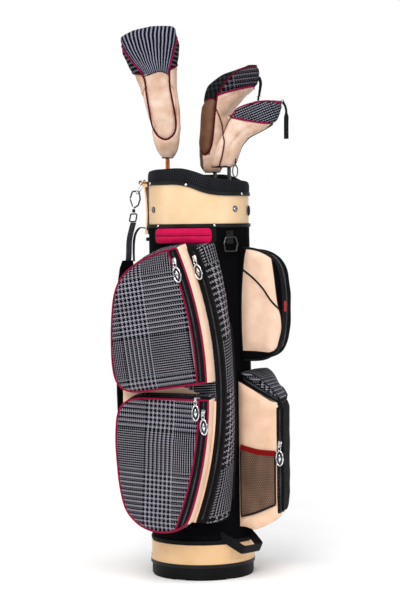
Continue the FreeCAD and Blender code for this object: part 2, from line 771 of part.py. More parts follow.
def make_strap():
    """The shoulder strap, from the snap hook on the collar to the foot of the bag."""
    y = -40
    post = simple("Part::Cylinder", "strap_post",
                  Placement(Vector(-106.6, y, 861), Rotation(Vector(0, 1, 0), -90)),
                  Radius="3", Height="16")
    knob = simple("Part::Cylinder", "strap_knob",
                  Placement(Vector(-121.5, y, 861), Rotation(Vector(0, 1, 0), -90)),
                  Radius="5.5", Height="4")
    keep(fuse("strap_anchor", [post, knob]))

    def slanted(along, across):
        """A point of the link: along its slope from the post, and across it."""
        return (-117 - 0.535 * along, y + across, 862 - 0.845 * along)

    corners = [slanted(along, across) for along, across in
               ((-6, -6.5), (30, -6.5), (30, 6.5), (-6, 6.5))]
    keep(bent_rod("strap_link", corners, 1.3, 6.4, closed=True))

    hook = [(-141, y, 806), (-130, y, 812), (-124.8, y, 826), (-127.5, y, 843), (-144, y, 843),
            (-150, y, 828)]
    keep(bent_rod("snap_hook", hook, 1.8, 5))
    keep(bent_rod("snap_gate", [(-150, y, 826), (-144, y, 809)], 1.5, 1))

    barrel = simple("Part::Cylinder", "swivel_barrel",
                    Placement(Vector(-141.5, y, 796), Rotation()), Radius="3.4", Height="7.6")
    eye = bent_rod("swivel_eye", [(-149, y, 793), (-133, y, 793), (-137, y, 776), (-153, y, 776)],
                   1.6, 3, closed=True)
    keep(fuse("strap_swivel", [barrel, eye]))

    strap = new_body("shoulder_strap")
    webbing = 3
    top = ((-147, 773.6), (-151, 762), (-158, 735), (-160, 700))
    low = ((-163, 215), (-165, 178), (-161, 150), (-148, 128), (-111, 118))
    sketch = new_sketch(strap, "XZ_Plane", "20")
    outer = [(x - webbing, height) for x, height in top]
    add_outline(sketch, list(top) + [(-168, 640)] + [(-168 - webbing, 640)] + outer[::-1])
    pad(strap, sketch, "24")
    sketch = new_sketch(strap, "XZ_Plane", "40")
    outer = [(x - webbing, height - webbing * 0.6) for x, height in low]
    add_outline(sketch, [(-164, 240)] + list(low) + outer[::-1] + [(-167, 240)])
    pad(strap, sketch, "24")
    sketch = new_sketch(strap, "XZ_Plane", "12")
    add_outline(sketch, ((-153, 690), (-162, 620), (-165, 540), (-166, 400), (-163, 310),
                         (-161, 213), (-168, 213), (-174, 300), (-178, 400), (-178, 540),
                         (-174, 630), (-161, 692)))
    pad(strap, sketch, "58")
    keep(strap)


# ---------------------------------------------------------------- clubs


def shrink(sections, wall):
    """The inside of a cover's sections."""
    return [(height, middle, half_width - wall, half_depth - wall)
            for height, middle, half_width, half_depth in sections]


def stand_at(x, y):
    """Where a club stands in the bag, its face turned to the clubs' bearing."""
    return Placement(Vector(x, y, 0), at_bearing(size("club_turn")))


def make_club(name, place, shaft_top, tip, butt, head, crown, neck):
    """One club: grip, shaft and head, and the crown and neck of its headcover.

    Every list holds sections (height, middle, half width, half depth), lowest first.
    tip and butt are the shaft's radii. The crown is open below, so that it lifts off the head.
    """
    floor = size("grip_bottom")
    grip_top = floor + size("grip_length")
    butt_radius = size("grip_radius")
    grip = new_body(name + "_grip")
    revolve(grip, ((0, floor), (butt_radius - 2, floor), (butt_radius, floor + 3),
                   (butt_radius - 0.6, floor + 30), (10, grip_top - 20), (9, grip_top),
                   (butt, grip_top), (butt, floor + 4), (0, floor + 4)))
    shaft = new_body(name + "_shaft")
    revolve(shaft, ((0, floor + 4), (butt, floor + 4), (butt, grip_top), (tip, shaft_top - 120),
                    (tip, shaft_top), (0, shaft_top)))
    club_head = new_body(name + "_head")
    loft(club_head, head)
    bore = new_sketch(club_head, "XY_Plane", str(head[0][0]))
    add_circle(bore, str(tip))
    pocket(club_head, bore, str(shaft_top - head[0][0]), reversed_way=True)
    cover = new_body(name + "_cover")
    loft(cover, crown)
    inside = shrink(crown, 4)
    lid = inside[-1]
    inside[-1] = (lid[0] - 4, lid[1], max(lid[2] - 4, 3), max(lid[3] - 4, 2))
    loft(cover, inside, "PartDesign::SubtractiveLoft")
    sock = new_body(name + "_cover_neck")
    loft(sock, neck)
    loft(sock, shrink(neck, 2.5), "PartDesign::SubtractiveLoft")
    for piece in (grip, shaft, club_head, cover, sock):
        piece.Placement = place
        keep(piece)


def make_clubs():
    make_club(
        "driver", stand_at(-70, -12), shaft_top=1090, tip=4.2, butt=7.4,
        head=((1060, 0, 7, 7), (1090, -6, 16, 14), (1100, -15, 28, 24), (1125, -30, 48, 40),
              (1150, -34, 52, 43), (1175, -37, 49, 40), (1186, -35, 34, 24), (1191, -30, 20, 12)),
        crown=((1143, -33.5, 61.5, 50), (1164, -35.5, 64.5, 52), (1178, -38.5, 65.5, 50),
               (1187, -32, 58, 44), (1198, -22, 45, 30), (1204, -8, 20, 12)),
        neck=((914, 0, 13, 12), (933, 0, 23, 20), (950, -1, 28, 25), (983, -3, 33, 28),
              (1028, -10, 38, 32), (1062, -17, 40, 34), (1096, -23, 45, 39), (1112, -29, 52, 44),
              (1143, -33.5, 61.5, 50)),
    )
    make_club(
        "fairway", stand_at(12, 57), shaft_top=1032, tip=4.3, butt=7.2,
        head=((1012, 0, 7, 7), (1035, 10, 19, 17), (1055, 30, 38, 28), (1075, 45, 38, 28),
              (1088, 54, 30, 22), (1095, 60, 16, 12)),
        crown=((1074, 41, 54.5, 38), (1089, 51.5, 47.5, 36), (1100, 60, 41, 31),
               (1112, 79, 20, 17), (1119, 88, 9, 7.5)),
        neck=((882, -5, 20, 19), (900, -7, 26, 24), (951, -5, 29, 26), (1000, 1, 32, 29),
              (1018, 7, 36, 31), (1031, 14, 41, 33), (1045, 22, 45, 35), (1060, 32, 51, 37),
              (1074, 41, 54.5, 38)),
    )
    make_club(
        "hybrid", stand_at(73.5, 2.7), shaft_top=966, tip=4.3, butt=7.2,
        head=((950, 0, 7, 7), (968, 8, 14, 12), (980, 28, 28, 18), (990, 42, 30, 21),
              (1005, 57, 34, 22), (1018, 68, 26, 17), (1025, 76, 14, 9)),
        crown=((988, 51, 52, 31), (1003, 59, 52, 31), (1018, 68, 47, 29), (1027, 77, 42, 23),
               (1032, 85, 33, 16), (1035, 88, 16, 8)),
        neck=((891, -16, 27, 20), (904, -11, 27, 22), (921, -5, 27, 24), (939, 2, 27, 25),
              (957, 14, 31, 27), (970, 30, 41, 29), (979, 41, 47, 30), (988, 51, 52, 31)),
    )


def make_tags():
    """The tags that hang from the noses of the two smaller covers."""
    fairway = ((101.4, 1092), (105.6, 1092), (107, 1080), (106.6, 1047), (103.5, 1043),
               (100.4, 1047), (100.2, 1079))
    hybrid = ((120, 1029), (122, 1031), (128.5, 1021), (129.2, 1008), (128.7, 954), (125.5, 950),
              (122.3, 954), (121.8, 1008), (124.4, 1018), (120, 1025))
    for name, place, outline in (
        ("fairway_tag", stand_at(12, 57), fairway),
        ("hybrid_tag", stand_at(73.5, 2.7), hybrid),
    ):
        body = new_body(name)
        sketch = new_sketch(body, "XZ_Plane", "-1.6")
        add_outline(sketch, outline)
        pad(body, sketch, "3.2")
        body.Placement = place
        keep(body)


make_boot()
make_base_shell()
make_tube()
make_collar()
make_fasteners()
make_collar_handle()
make_dividers()
make_garment_pocket()
make_ball_pockets()
make_side_pockets()
make_strap_side_pocket()
make_tapes()
make_zip_pulls()
make_grab_handle()
make_towel_ring()
make_lift_loop()
make_strap()
make_clubs()
make_tags()
doc.recompute()

faults = [item.Label for item in doc.Objects if {"Invalid", "Error"} & set(item.State)]
for item in sub_parts:
    if item.Shape.isNull() or not item.Shape.isValid() or not item.Shape.Solids:
        faults.append(item.Label + " shape")
assert not faults, f"failed objects: {faults}"

for item in sub_parts:
    item.Shape.exportStep(f"parts/{item.Label}.step")
print(len(sub_parts), "sub-parts written")
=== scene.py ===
"""A golf club set: the cloth, padding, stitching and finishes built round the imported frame."""
import math

import bmesh
import bpy
import numpy as np
from mathutils import Matrix, Vector, noise
from mathutils.bvhtree import BVHTree
from mathutils.geometry import delaunay_2d_cdt


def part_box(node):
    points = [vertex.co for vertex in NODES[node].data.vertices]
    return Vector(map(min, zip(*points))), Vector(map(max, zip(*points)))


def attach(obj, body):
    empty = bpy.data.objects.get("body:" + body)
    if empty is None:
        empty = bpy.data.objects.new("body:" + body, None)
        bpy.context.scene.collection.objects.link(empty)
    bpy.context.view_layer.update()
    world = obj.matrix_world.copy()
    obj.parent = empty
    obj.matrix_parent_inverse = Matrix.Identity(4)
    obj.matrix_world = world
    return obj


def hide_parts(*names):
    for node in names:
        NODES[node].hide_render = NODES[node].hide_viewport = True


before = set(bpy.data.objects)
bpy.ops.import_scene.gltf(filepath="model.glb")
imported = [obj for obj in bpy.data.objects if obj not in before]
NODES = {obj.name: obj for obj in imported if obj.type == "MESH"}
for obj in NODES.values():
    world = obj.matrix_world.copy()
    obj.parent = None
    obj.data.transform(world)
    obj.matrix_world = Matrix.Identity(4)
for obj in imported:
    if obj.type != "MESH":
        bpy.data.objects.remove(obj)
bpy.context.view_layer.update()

# All lengths below are millimetres in the CAD frame: +Z up, the ball pockets on -Y and the
# side pockets on +X. They turn into metres where a mesh is made.
MM = 0.001
ARC_CENTRE = Vector((-636, 410))

# Where the zips run: reaches from the arc centre for the curved ones, and x for the side one.
UPPER_TRACK, GARMENT_TRACK, LOWER_TRACK, SIDE_TRACK = 734, 760, 733, 205.5

# The clubs face the camera, which stands at this bearing: 0 is -Y and 90 is +X.
VIEW_BEARING = 27
CLUB_TURN = math.radians(VIEW_BEARING)
CLUB_FACING = Matrix.Rotation(CLUB_TURN, 4, "Z")
CLUBS = {"driver": Vector((-70, -12, 0)), "fairway": Vector((12, 57, 0)), "hybrid": Vector((73.5, 2.7, 0))}
COVER_SQUARE = 2.5


# ---------------------------------------------------------------- paths and outlines


def box(node):
    """Lowest and highest corner of a CAD node."""
    low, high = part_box(node)
    return low / MM, high / MM


def spline(knots, step):
    """A smooth curve through a few knots, with points about step apart."""
    knots = [Vector(knot) for knot in knots]
    count = len(knots)
    points = []
    for index in range(count - 1):
        start, end = knots[index], knots[index + 1]
        before = knots[index - 1] if index else 2 * start - end
        after = knots[index + 2] if index + 2 < count else 2 * end - start
        pieces = max(1, round((end - start).length / step))
        for piece in range(pieces):
            t = piece / pieces
            points.append(0.5 * (2 * start + (end - before) * t
                                 + (2 * before - 5 * start + 4 * end - after) * t * t
                                 + (3 * start - before - 3 * end + after) * t ** 3))
    points.append(knots[-1])
    return points


def evenly(path, step=None, closed=False, count=None):
    """The same path with its points the same distance apart."""
    points = [Vector(point) for point in path]
    if closed:
        points.append(points[0])
    reach = [0.0]
    for start, end in zip(points, points[1:]):
        reach.append(reach[-1] + (end - start).length)
    count = count or max(3, round(reach[-1] / step))
    result = []
    span = 0
    for index in range(count if closed else count + 1):
        target = reach[-1] * index / count
        while span < len(points) - 2 and reach[span + 1] < target:
            span += 1
        length = reach[span + 1] - reach[span]
        result.append(points[span].lerp(points[span + 1], (target - reach[span]) / length if length else 0))
    return result


def cut_loop(nodes, axis, level):
    """The longest outline that a plane across an axis cuts in some CAD nodes, in millimetres.

    A loop across Y comes back as (x, z) points, counter-clockwise as seen from -Y, and one
    across Z as (x, y) points, counter-clockwise as seen from above.
    """
    normal = Vector((0, 0, 0))
    normal[axis] = 1
    keep = [index for index in range(3) if index != axis]
    best = []
    for node in nodes:
        solid = bmesh.new()
        solid.from_mesh(NODES[node].data)
        bmesh.ops.remove_doubles(solid, verts=solid.verts, dist=1e-6)
        parts = solid.verts[:] + solid.edges[:] + solid.faces[:]
        made = bmesh.ops.bisect_plane(solid, geom=parts, plane_co=normal * level * MM, plane_no=normal)
        edges = dict.fromkeys(item for item in made["geom_cut"] if isinstance(item, bmesh.types.BMEdge))
        while edges:
            edge = edges.popitem()[0]
            chain = [edge.verts[0], edge.verts[1]]
            while True:
                onward = [item for item in chain[-1].link_edges if item in edges]
                if not onward:
                    break
                del edges[onward[0]]
                chain.append(onward[0].other_vert(chain[-1]))
            loop = [Vector([vert.co[index] / MM for index in keep]) for vert in chain[:-1]]
            if length_of(loop) > length_of(best):
                best = loop
        solid.free()
    area = sum(a.x * b.y - b.x * a.y for a, b in zip(best, best[1:] + best[:1]))
    return best if area > 0 else best[::-1]


def length_of(loop):
    """How long a closed loop of points is."""
    return sum((b - a).length for a, b in zip(loop, loop[1:] + loop[:1]))


def start_at(loop, anchor):
    """The loop again, starting from its point nearest an anchor."""
    first = min(range(len(loop)), key=lambda index: (loop[index] - Vector(anchor)).length)
    return loop[first:] + loop[:first]


def arc_reach(point):
    """How far an (x, z) point is from the centre of the pockets' curved edges."""
    return (Vector(point[:2]) - ARC_CENTRE).length


def arc_point(radius, height):
    """The (x, z) point of a curved edge at a height."""
    return Vector((ARC_CENTRE.x + math.sqrt(radius ** 2 - (height - ARC_CENTRE.y) ** 2), height))


def circle(count):
    """The cosine and sine of even steps round one turn."""
    return [(math.cos(math.tau * k / count), math.sin(math.tau * k / count)) for k in range(count)]


def squarish(count, wide, tall, power):
    """A section between an ellipse and a rectangle, squarer with a higher power."""
    section = []
    for cosine, sine in circle(count):
        corner = 1 / (abs(cosine) ** power + abs(sine) ** power) ** (1 / power)
        section.append((wide * corner * cosine, tall * corner * sine))
    return section


def ripple(point, size, seed):
    """Smooth noise from -1 to 1 whose bumps are about size across."""
    return noise.noise(Vector(point) / size + Vector((seed, seed * 1.7, -seed)))


# ---------------------------------------------------------------- meshes


def piece(name, points, faces, finish, body="bag", slot=None, stands_for=(), cloth=None, zones=None):
    """Makes one mesh piece that rides a body. cloth holds a place in the weave for each corner."""
    mesh = bpy.data.meshes.new(name)
    mesh.from_pydata([Vector(point) * MM for point in points], [], faces)
    for material in finish if isinstance(finish, (list, tuple)) else [finish]:
        mesh.materials.append(material)
    if zones:
        mesh.polygons.foreach_set("material_index", zones)
    if cloth:
        layer = mesh.uv_layers.new(name="cloth")
        layer.data.foreach_set("uv", [value for place in cloth for value in place])
    mesh.polygons.foreach_set("use_smooth", [True] * len(mesh.polygons))
    mesh.set_sharp_from_angle(angle=math.radians(50))
    made = bpy.data.objects.new(name, mesh)
    bpy.context.scene.collection.objects.link(made)
    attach(made, body)
    if stands_for:
        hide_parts(*stands_for)
    return made


def swept(path, section, closed, up=None, grow=None):
    """Points, faces and cloth places of a section of (side, up) offsets run along a path.

    grow(share of the way) scales the section across and up.
    """
    path = [Vector(point) for point in path]
    points, faces, cloth = [], [], []
    round_trip = [0.0]
    for here, there in zip(section, section[1:] + section[:1]):
        round_trip.append(round_trip[-1] + math.dist(here, there))
    wide = len(section)
    reach = [0.0]
    normal = None
    for index, point in enumerate(path):
        before = path[index - 1] if closed or index else point
        after = path[(index + 1) % len(path)] if closed or index + 1 < len(path) else point
        tangent = (after - before).normalized()
        if up:
            normal = Vector(up(point) if callable(up) else up)
        elif normal is None:
            normal = tangent.orthogonal()
        side = tangent.cross(normal).normalized()
        normal = side.cross(tangent).normalized()
        wider, taller = grow(index / (len(path) - 1)) if grow else (1, 1)
        points += [point + side * across * wider + normal * rise * taller for across, rise in section]
        if index:
            reach.append(reach[-1] + (point - path[index - 1]).length)
    rings = len(path)
    reach.append(reach[-1] + (path[0] - path[-1]).length)
    for ring in range(rings if closed else rings - 1):
        for slot in range(wide):
            right = (slot + 1) % wide
            after = (ring + 1) % rings
            faces.append((ring * wide + slot, after * wide + slot, after * wide + right,
                          ring * wide + right))
            cloth += [(round_trip[slot], reach[ring]), (round_trip[slot], reach[ring + 1]),
                      (round_trip[slot + 1], reach[ring + 1]), (round_trip[slot + 1], reach[ring])]
    if not closed:
        for cap in (range(wide), range((rings - 1) * wide, rings * wide)[::-1]):
            faces.append(tuple(cap))
            cloth += [section[index % wide] for index in cap]
    return points, faces, cloth


def round_section(radius):
    """A round section of ten sides."""
    return [(radius * cosine, radius * sine) for cosine, sine in circle(10)]


def strip_section(width, thickness, crown=0.0):
    """A flat band with rounded edges, its middle standing crown higher."""
    half, thin = width / 2, thickness / 2
    top = [(half * k, thin + crown * (1 - k * k)) for k in (0.9, 0.6, 0.3, 0, -0.3, -0.6, -0.9)]
    return [(half, 0)] + top + [(-half, 0), (-half * 0.9, -thin), (0, -thin), (half * 0.9, -thin)]


def shaped(name, shape, finish, body="bag", slot=None, stands_for=()):
    """A piece made from one (points, faces, cloth) set."""
    points, faces, cloth = shape
    return piece(name, points, faces, finish, body, slot, stands_for, cloth)


def cord(name, path, radius, finish, body="bag", closed=False, slot="black_fabric"):
    """A round piping or seam cord sewn along a path."""
    return shaped(name, swept(path, round_section(radius), closed), finish, body, slot)


def band(name, path, width, thickness, finish, up, crown, body="bag", slot="black_fabric", stands_for=()):
    """A flat webbing, tape or binding along a path, its face turned to up."""
    shape = swept(path, strip_section(width, thickness, crown), False, up)
    return shaped(name, shape, finish, body, slot, stands_for)


def joined(parts):
    """Several (points, faces, cloth) sets as one."""
    points, faces, cloth = [], [], []
    for more_points, more_faces, more_cloth in parts:
        start = len(points)
        points += more_points
        faces += [tuple(start + index for index in face) for face in more_faces]
        cloth += more_cloth
    return points, faces, cloth


def stitches(name, paths, finish, up, body="bag"):
    """Rows of thread stitches along paths, lying on the side that up points to."""
    pitch, length, thick = 3.6, 2.5, 0.42
    points, faces = [], []
    for path in paths:
        steps = evenly(path, pitch)
        for start, end in zip(steps, steps[1:]):
            middle = (start + end) / 2
            ahead = (end - start).normalized()
            rise = Vector(up(middle) if callable(up) else up).normalized()
            side = ahead.cross(rise).normalized() * thick
            first = len(points)
            points += [middle - ahead * length / 2, middle + side, middle + rise * thick, middle - side,
                       middle - rise * thick, middle + ahead * length / 2]
            for a, b in ((1, 2), (2, 3), (3, 4), (4, 1)):
                faces += [(first, first + b, first + a), (first + 5, first + a, first + b)]
    return piece(name, points, faces, finish, body)


def zip_chain(name, path, up, body="bag"):
    """The closed coil of a zip: interlocking teeth along a path."""
    pitch = 2.0
    points, faces = [], []
    steps = evenly(path, pitch)
    for index, (start, end) in enumerate(zip(steps, steps[1:])):
        ahead = (end - start).normalized()
        rise = Vector(up).normalized()
        side = ahead.cross(rise).normalized()
        middle = (start + end) / 2 + side * (0.7 if index % 2 else -0.7)
        first = len(points)
        for height, wide, long in ((0, 1.5, 0.42), (0.7, 1.3, 0.4), (1.0, 0.8, 0.25)):
            points += [middle + side * a * wide + ahead * b * pitch * long + rise * height
                       for a, b in ((-1, -1), (1, -1), (1, 1), (-1, 1))]
        for level in (0, 4):
            faces += [tuple(first + level + k for k in (a, (a + 1) % 4, (a + 1) % 4 + 4, a + 4))
                      for a in range(4)]
        faces += [(first + 3, first + 2, first + 1, first), (first + 8, first + 9, first + 10, first + 11)]
    return piece(name, points, faces, TEETH, body)


def domed(centre, out, profile, wide=1.0, tall=1.0, up=(0, 0, 1)):
    """Points, faces and cloth places of a boss: rings of (radius, rise) round an axis pointing out."""
    sides = 32
    out = Vector(out).normalized()
    side = Vector(up).cross(out).normalized()
    rise_way = out.cross(side)
    points = [centre + out * rise + side * radius * wide * cosine + rise_way * radius * tall * sine
              for radius, rise in profile for cosine, sine in circle(sides)]
    faces = [(level * sides + k, level * sides + (k + 1) % sides, (level + 1) * sides + (k + 1) % sides,
              (level + 1) * sides + k) for level in range(len(profile) - 1) for k in range(sides)]
    faces += [tuple(range(sides))[::-1], tuple(range(len(points) - sides, len(points)))]
    cloth = [(points[index].x, points[index].z) for face in faces for index in face]
    return points, faces, cloth


def lathe(name, profile, finish, slot, stands_for=(), steps=120, wave=None, centre=(0, 0)):
    """Turns a closed outline of (radius, height) about a vertical line.

    wave(turn, z) adds to the radius. The turn is in radians.
    """
    points, faces, cloth = [], [], []
    count = len(profile)
    run = [0.0]
    for here, there in zip(profile, profile[1:] + profile[:1]):
        run.append(run[-1] + math.dist(here, there))
    for step in range(steps):
        turn = math.tau * step / steps
        for radius, height in profile:
            radius += wave(turn, height) if wave else 0
            points.append((centre[0] + radius * math.sin(turn), centre[1] - radius * math.cos(turn), height))
    for step in range(steps):
        after = (step + 1) % steps
        for index in range(count):
            right = (index + 1) % count
            faces.append((step * count + index, after * count + index, after * count + right,
                          step * count + right))
            near = math.tau * step / steps * profile[0][0]
            far = math.tau * (step + 1) / steps * profile[0][0]
            cloth += [(near, run[index]), (far, run[index]), (far, run[index + 1]), (near, run[index + 1])]
    return piece(name, points, faces, finish, "bag", slot, stands_for, cloth)


def inside(points, loop):
    """Which of some points lie inside a loop."""
    points = np.array(points)
    corners = np.array([tuple(point) for point in loop])
    after = np.roll(corners, -1, axis=0)
    x, y = points[:, :1], points[:, 1:2]
    crosses = (corners[:, 1] > y) != (after[:, 1] > y)
    rise = np.where(after[:, 1] == corners[:, 1], 1e-9, after[:, 1] - corners[:, 1])
    slope = (after[:, 0] - corners[:, 0]) / rise
    return (crosses & (x < corners[:, 0] + slope * (y - corners[:, 1]))).sum(1) % 2 == 1


def distance(points, runs):
    """Distance from points to the nearest of some open runs of points."""
    points = np.array(points, float)
    best = np.full(len(points), 1e9)
    for run in runs:
        run = np.array([tuple(point) for point in run], float)
        for start, end in zip(run, run[1:]):
            along = end - start
            t = np.clip(((points - start) @ along) / max(along @ along, 1e-9), 0, 1)
            best = np.minimum(best, np.linalg.norm(points - start - t[:, None] * along, axis=1))
    return best


def filled(rim, seams, step):
    """Triangles over a flat rim of points: (all points, faces, distance of each to rim or seam).

    The rim's own points come first. A seam's ends snap to the rim, and no triangle crosses it.
    """
    count = len(rim)
    points = [Vector(point) for point in rim]
    edges = [(index, (index + 1) % count) for index in range(count)]
    runs = [list(rim) + [rim[0]]]
    for seam in seams:
        seam = [Vector(point) for point in seam]
        first = len(points)
        near_rim = distance(seam, [list(rim) + [rim[0]]])
        middle = [point for point, within, gap in zip(seam, inside(seam, rim), near_rim)
                  if within and gap > step * 0.4]
        ends = [min(range(count), key=lambda k: (points[k] - end).length) for end in (middle[0], middle[-1])]
        points += middle
        chain = [ends[0]] + list(range(first, len(points))) + [ends[1]]
        edges += list(zip(chain, chain[1:]))
        runs.append([points[index] for index in chain])
    low = [min(point[axis] for point in rim) for axis in (0, 1)]
    high = [max(point[axis] for point in rim) for axis in (0, 1)]
    grid = [(low[0] + step * (i + 0.5 * (j % 2)), low[1] + step * 0.87 * j)
            for j in range(int((high[1] - low[1]) / step / 0.87) + 2)
            for i in range(int((high[0] - low[0]) / step) + 2)]
    wanted = inside(grid, rim) & (distance(grid, runs) > step * 0.6)
    points += [Vector(point) for point, use in zip(grid, wanted) if use]
    _, _, faces, origin, _, _ = delaunay_2d_cdt(points, edges, [], 1, 1e-4)
    source = [item[0] for item in origin]
    faces = [tuple(source[index] for index in face) for face in faces]
    gaps = distance([tuple(point) for point in points], runs)
    return points, faces, gaps


def soft_shell(name, loops, finishes, front_zone, wall_zone, puff, body="bag", slot=None, stands_for=(),
               seams=(), lay=None, wall_lay=None, bow=0.0, round_edge=14.0, step=5.0, crease=0.7,
               seed=1.0, flat_zones=(), hug=None):
    """A closed sewn pocket between outlines at growing y: a filled front, walls and a filled back.

    loops is a list of (y, outline), all with the same number of points. front_zone(x, z) and
    wall_zone(x, y, z, direction) give the number of the finish, and lay and wall_lay turn a
    place on the pocket into a place in the cloth. A wall zone of None leaves an opening.
    """
    count = len(loops[0][1])
    lay = lay or (lambda x, z: (x, z))
    wall_lay = wall_lay or (lambda run, y: (y, run))
    front, front_faces, gaps = filled(loops[0][1], seams, step)
    points, faces, zones, cloth = [], [], [], []
    y_front = loops[0][0]
    for point, gap in zip(front, gaps):
        share = 1 - (1 - min(gap / round_edge, 1)) ** 2
        swell = puff(point.x, point.y) if callable(puff) else puff
        lift = swell * share + crease * share * (ripple((point.x, 0, point.y), 55, seed)
                                                 + 0.5 * ripple((point.x, 9, point.y), 19, seed))
        points.append(Vector((point.x, y_front - lift, point.y)))
    for face in front_faces:
        centre = sum((front[index] for index in face), Vector((0, 0))) / 3
        zone = front_zone(centre.x, centre.y)
        if zone in flat_zones:
            for index in face:
                points[index].y = max(points[index].y, y_front - 0.5)
        faces.append(face)
        zones.append(zone)
        cloth += [lay(front[index].x, front[index].y) for index in face]
    rings = [list(range(count))]
    levels = [loops[0]]
    for (y, loop), (y_next, loop_next) in zip(loops, loops[1:]):
        parts = max(1, round((y_next - y) / 7))
        for part in range(1, parts + 1):
            t = part / parts
            levels.append((y + (y_next - y) * t, [a.lerp(b, t) for a, b in zip(loop, loop_next)]))
    depth = levels[-1][0] - y_front
    for level, (y, loop) in enumerate(levels[1:], start=1):
        first = len(points)
        share = math.sin(math.pi * (y - y_front) / depth)
        for index, point in enumerate(loop):
            along = loop[(index + 1) % count] - loop[index - 1]
            outward = Vector((along.y, -along.x)).normalized()
            wave = crease * ripple((point.x, y * 0.7, point.y), 30, seed + 3)
            placed = point + outward * (bow * share + wave * (1 if level < len(levels) - 1 else 0))
            points.append(Vector((placed.x, y, placed.y)))
        rings.append(list(range(first, first + count)))
    reach = [0.0]
    for here, there in zip(loops[0][1], loops[0][1][1:] + loops[0][1][:1]):
        reach.append(reach[-1] + (there - here).length)
    for level in range(len(rings) - 1):
        for index in range(count):
            right = (index + 1) % count
            face = (rings[level][index], rings[level + 1][index], rings[level + 1][right],
                    rings[level][right])
            centre = sum((points[corner] for corner in face), Vector((0, 0, 0))) / 4
            along = loops[0][1][right] - loops[0][1][index]
            zone = wall_zone(centre.x, centre.y, centre.z, Vector((along.y, -along.x)).normalized())
            if zone is None:
                continue
            faces.append(face)
            zones.append(zone)
            near, far = levels[level][0], levels[level + 1][0]
            cloth += [wall_lay(reach[index], near), wall_lay(reach[index], far),
                      wall_lay(reach[index + 1], far), wall_lay(reach[index + 1], near)]
    y_back = levels[-1][0]
    back, back_faces, _ = filled(levels[-1][1], (), step * 2)
    extra = {index: rings[-1][index] for index in range(count)}
    for index, point in enumerate(back):
        if index >= count:
            extra[index] = len(points)
            points.append(Vector((point.x, y_back, point.y)))
    for face in back_faces:
        faces.append(tuple(extra[index] for index in reversed(face)))
        zones.append(wall_zone(0, y_back, 0, Vector((0, 0))))
        cloth += [lay(back[index].x, back[index].y) for index in reversed(face)]
    if hug:
        points = [hug(point) for point in points]
    return piece(name, points, faces, finishes, body, slot, stands_for, cloth, zones)


def surface(made):
    """A piece's skin, for finding points on it."""
    mesh = made.data
    return BVHTree.FromPolygons([vert.co / MM for vert in mesh.vertices],
                                [tuple(face.vertices) for face in mesh.polygons])


def laid(skin, path, way=(0, 1, 0), lift=0.0):
    """A path moved along a direction until it lies on a skin, then lifted off it a little."""
    way = Vector(way).normalized()
    found = []
    for point in path:
        hit = skin.ray_cast(Vector(point) - way * 400, way)[0]
        if hit:
            found.append(hit - way * lift)
    return found


def turned(degrees, across=0.0, along=0.0):
    """Lays cloth on a pocket's front, turned and shifted."""
    cosine, sine = math.cos(math.radians(degrees)), math.sin(math.radians(degrees))

    def lay(x, z):
        return (x * cosine + z * sine - across, z * cosine - x * sine - along)

    return lay


def in_front(path, y):
    """A flat (x, z) path as points at one y."""
    return [Vector((point[0], y, point[1])) for point in path]


# ---------------------------------------------------------------- finishes


def linear(red, green, blue):
    """A display colour from 0 to 255 as a linear RGBA value."""
    return tuple((value / 255) ** 2.2 for value in (red, green, blue)) + (1.0,)


def scaled(colour, share):
    """A colour made lighter or darker by a share."""
    return tuple(min(1.0, share * value) for value in colour[:3]) + (1.0,)


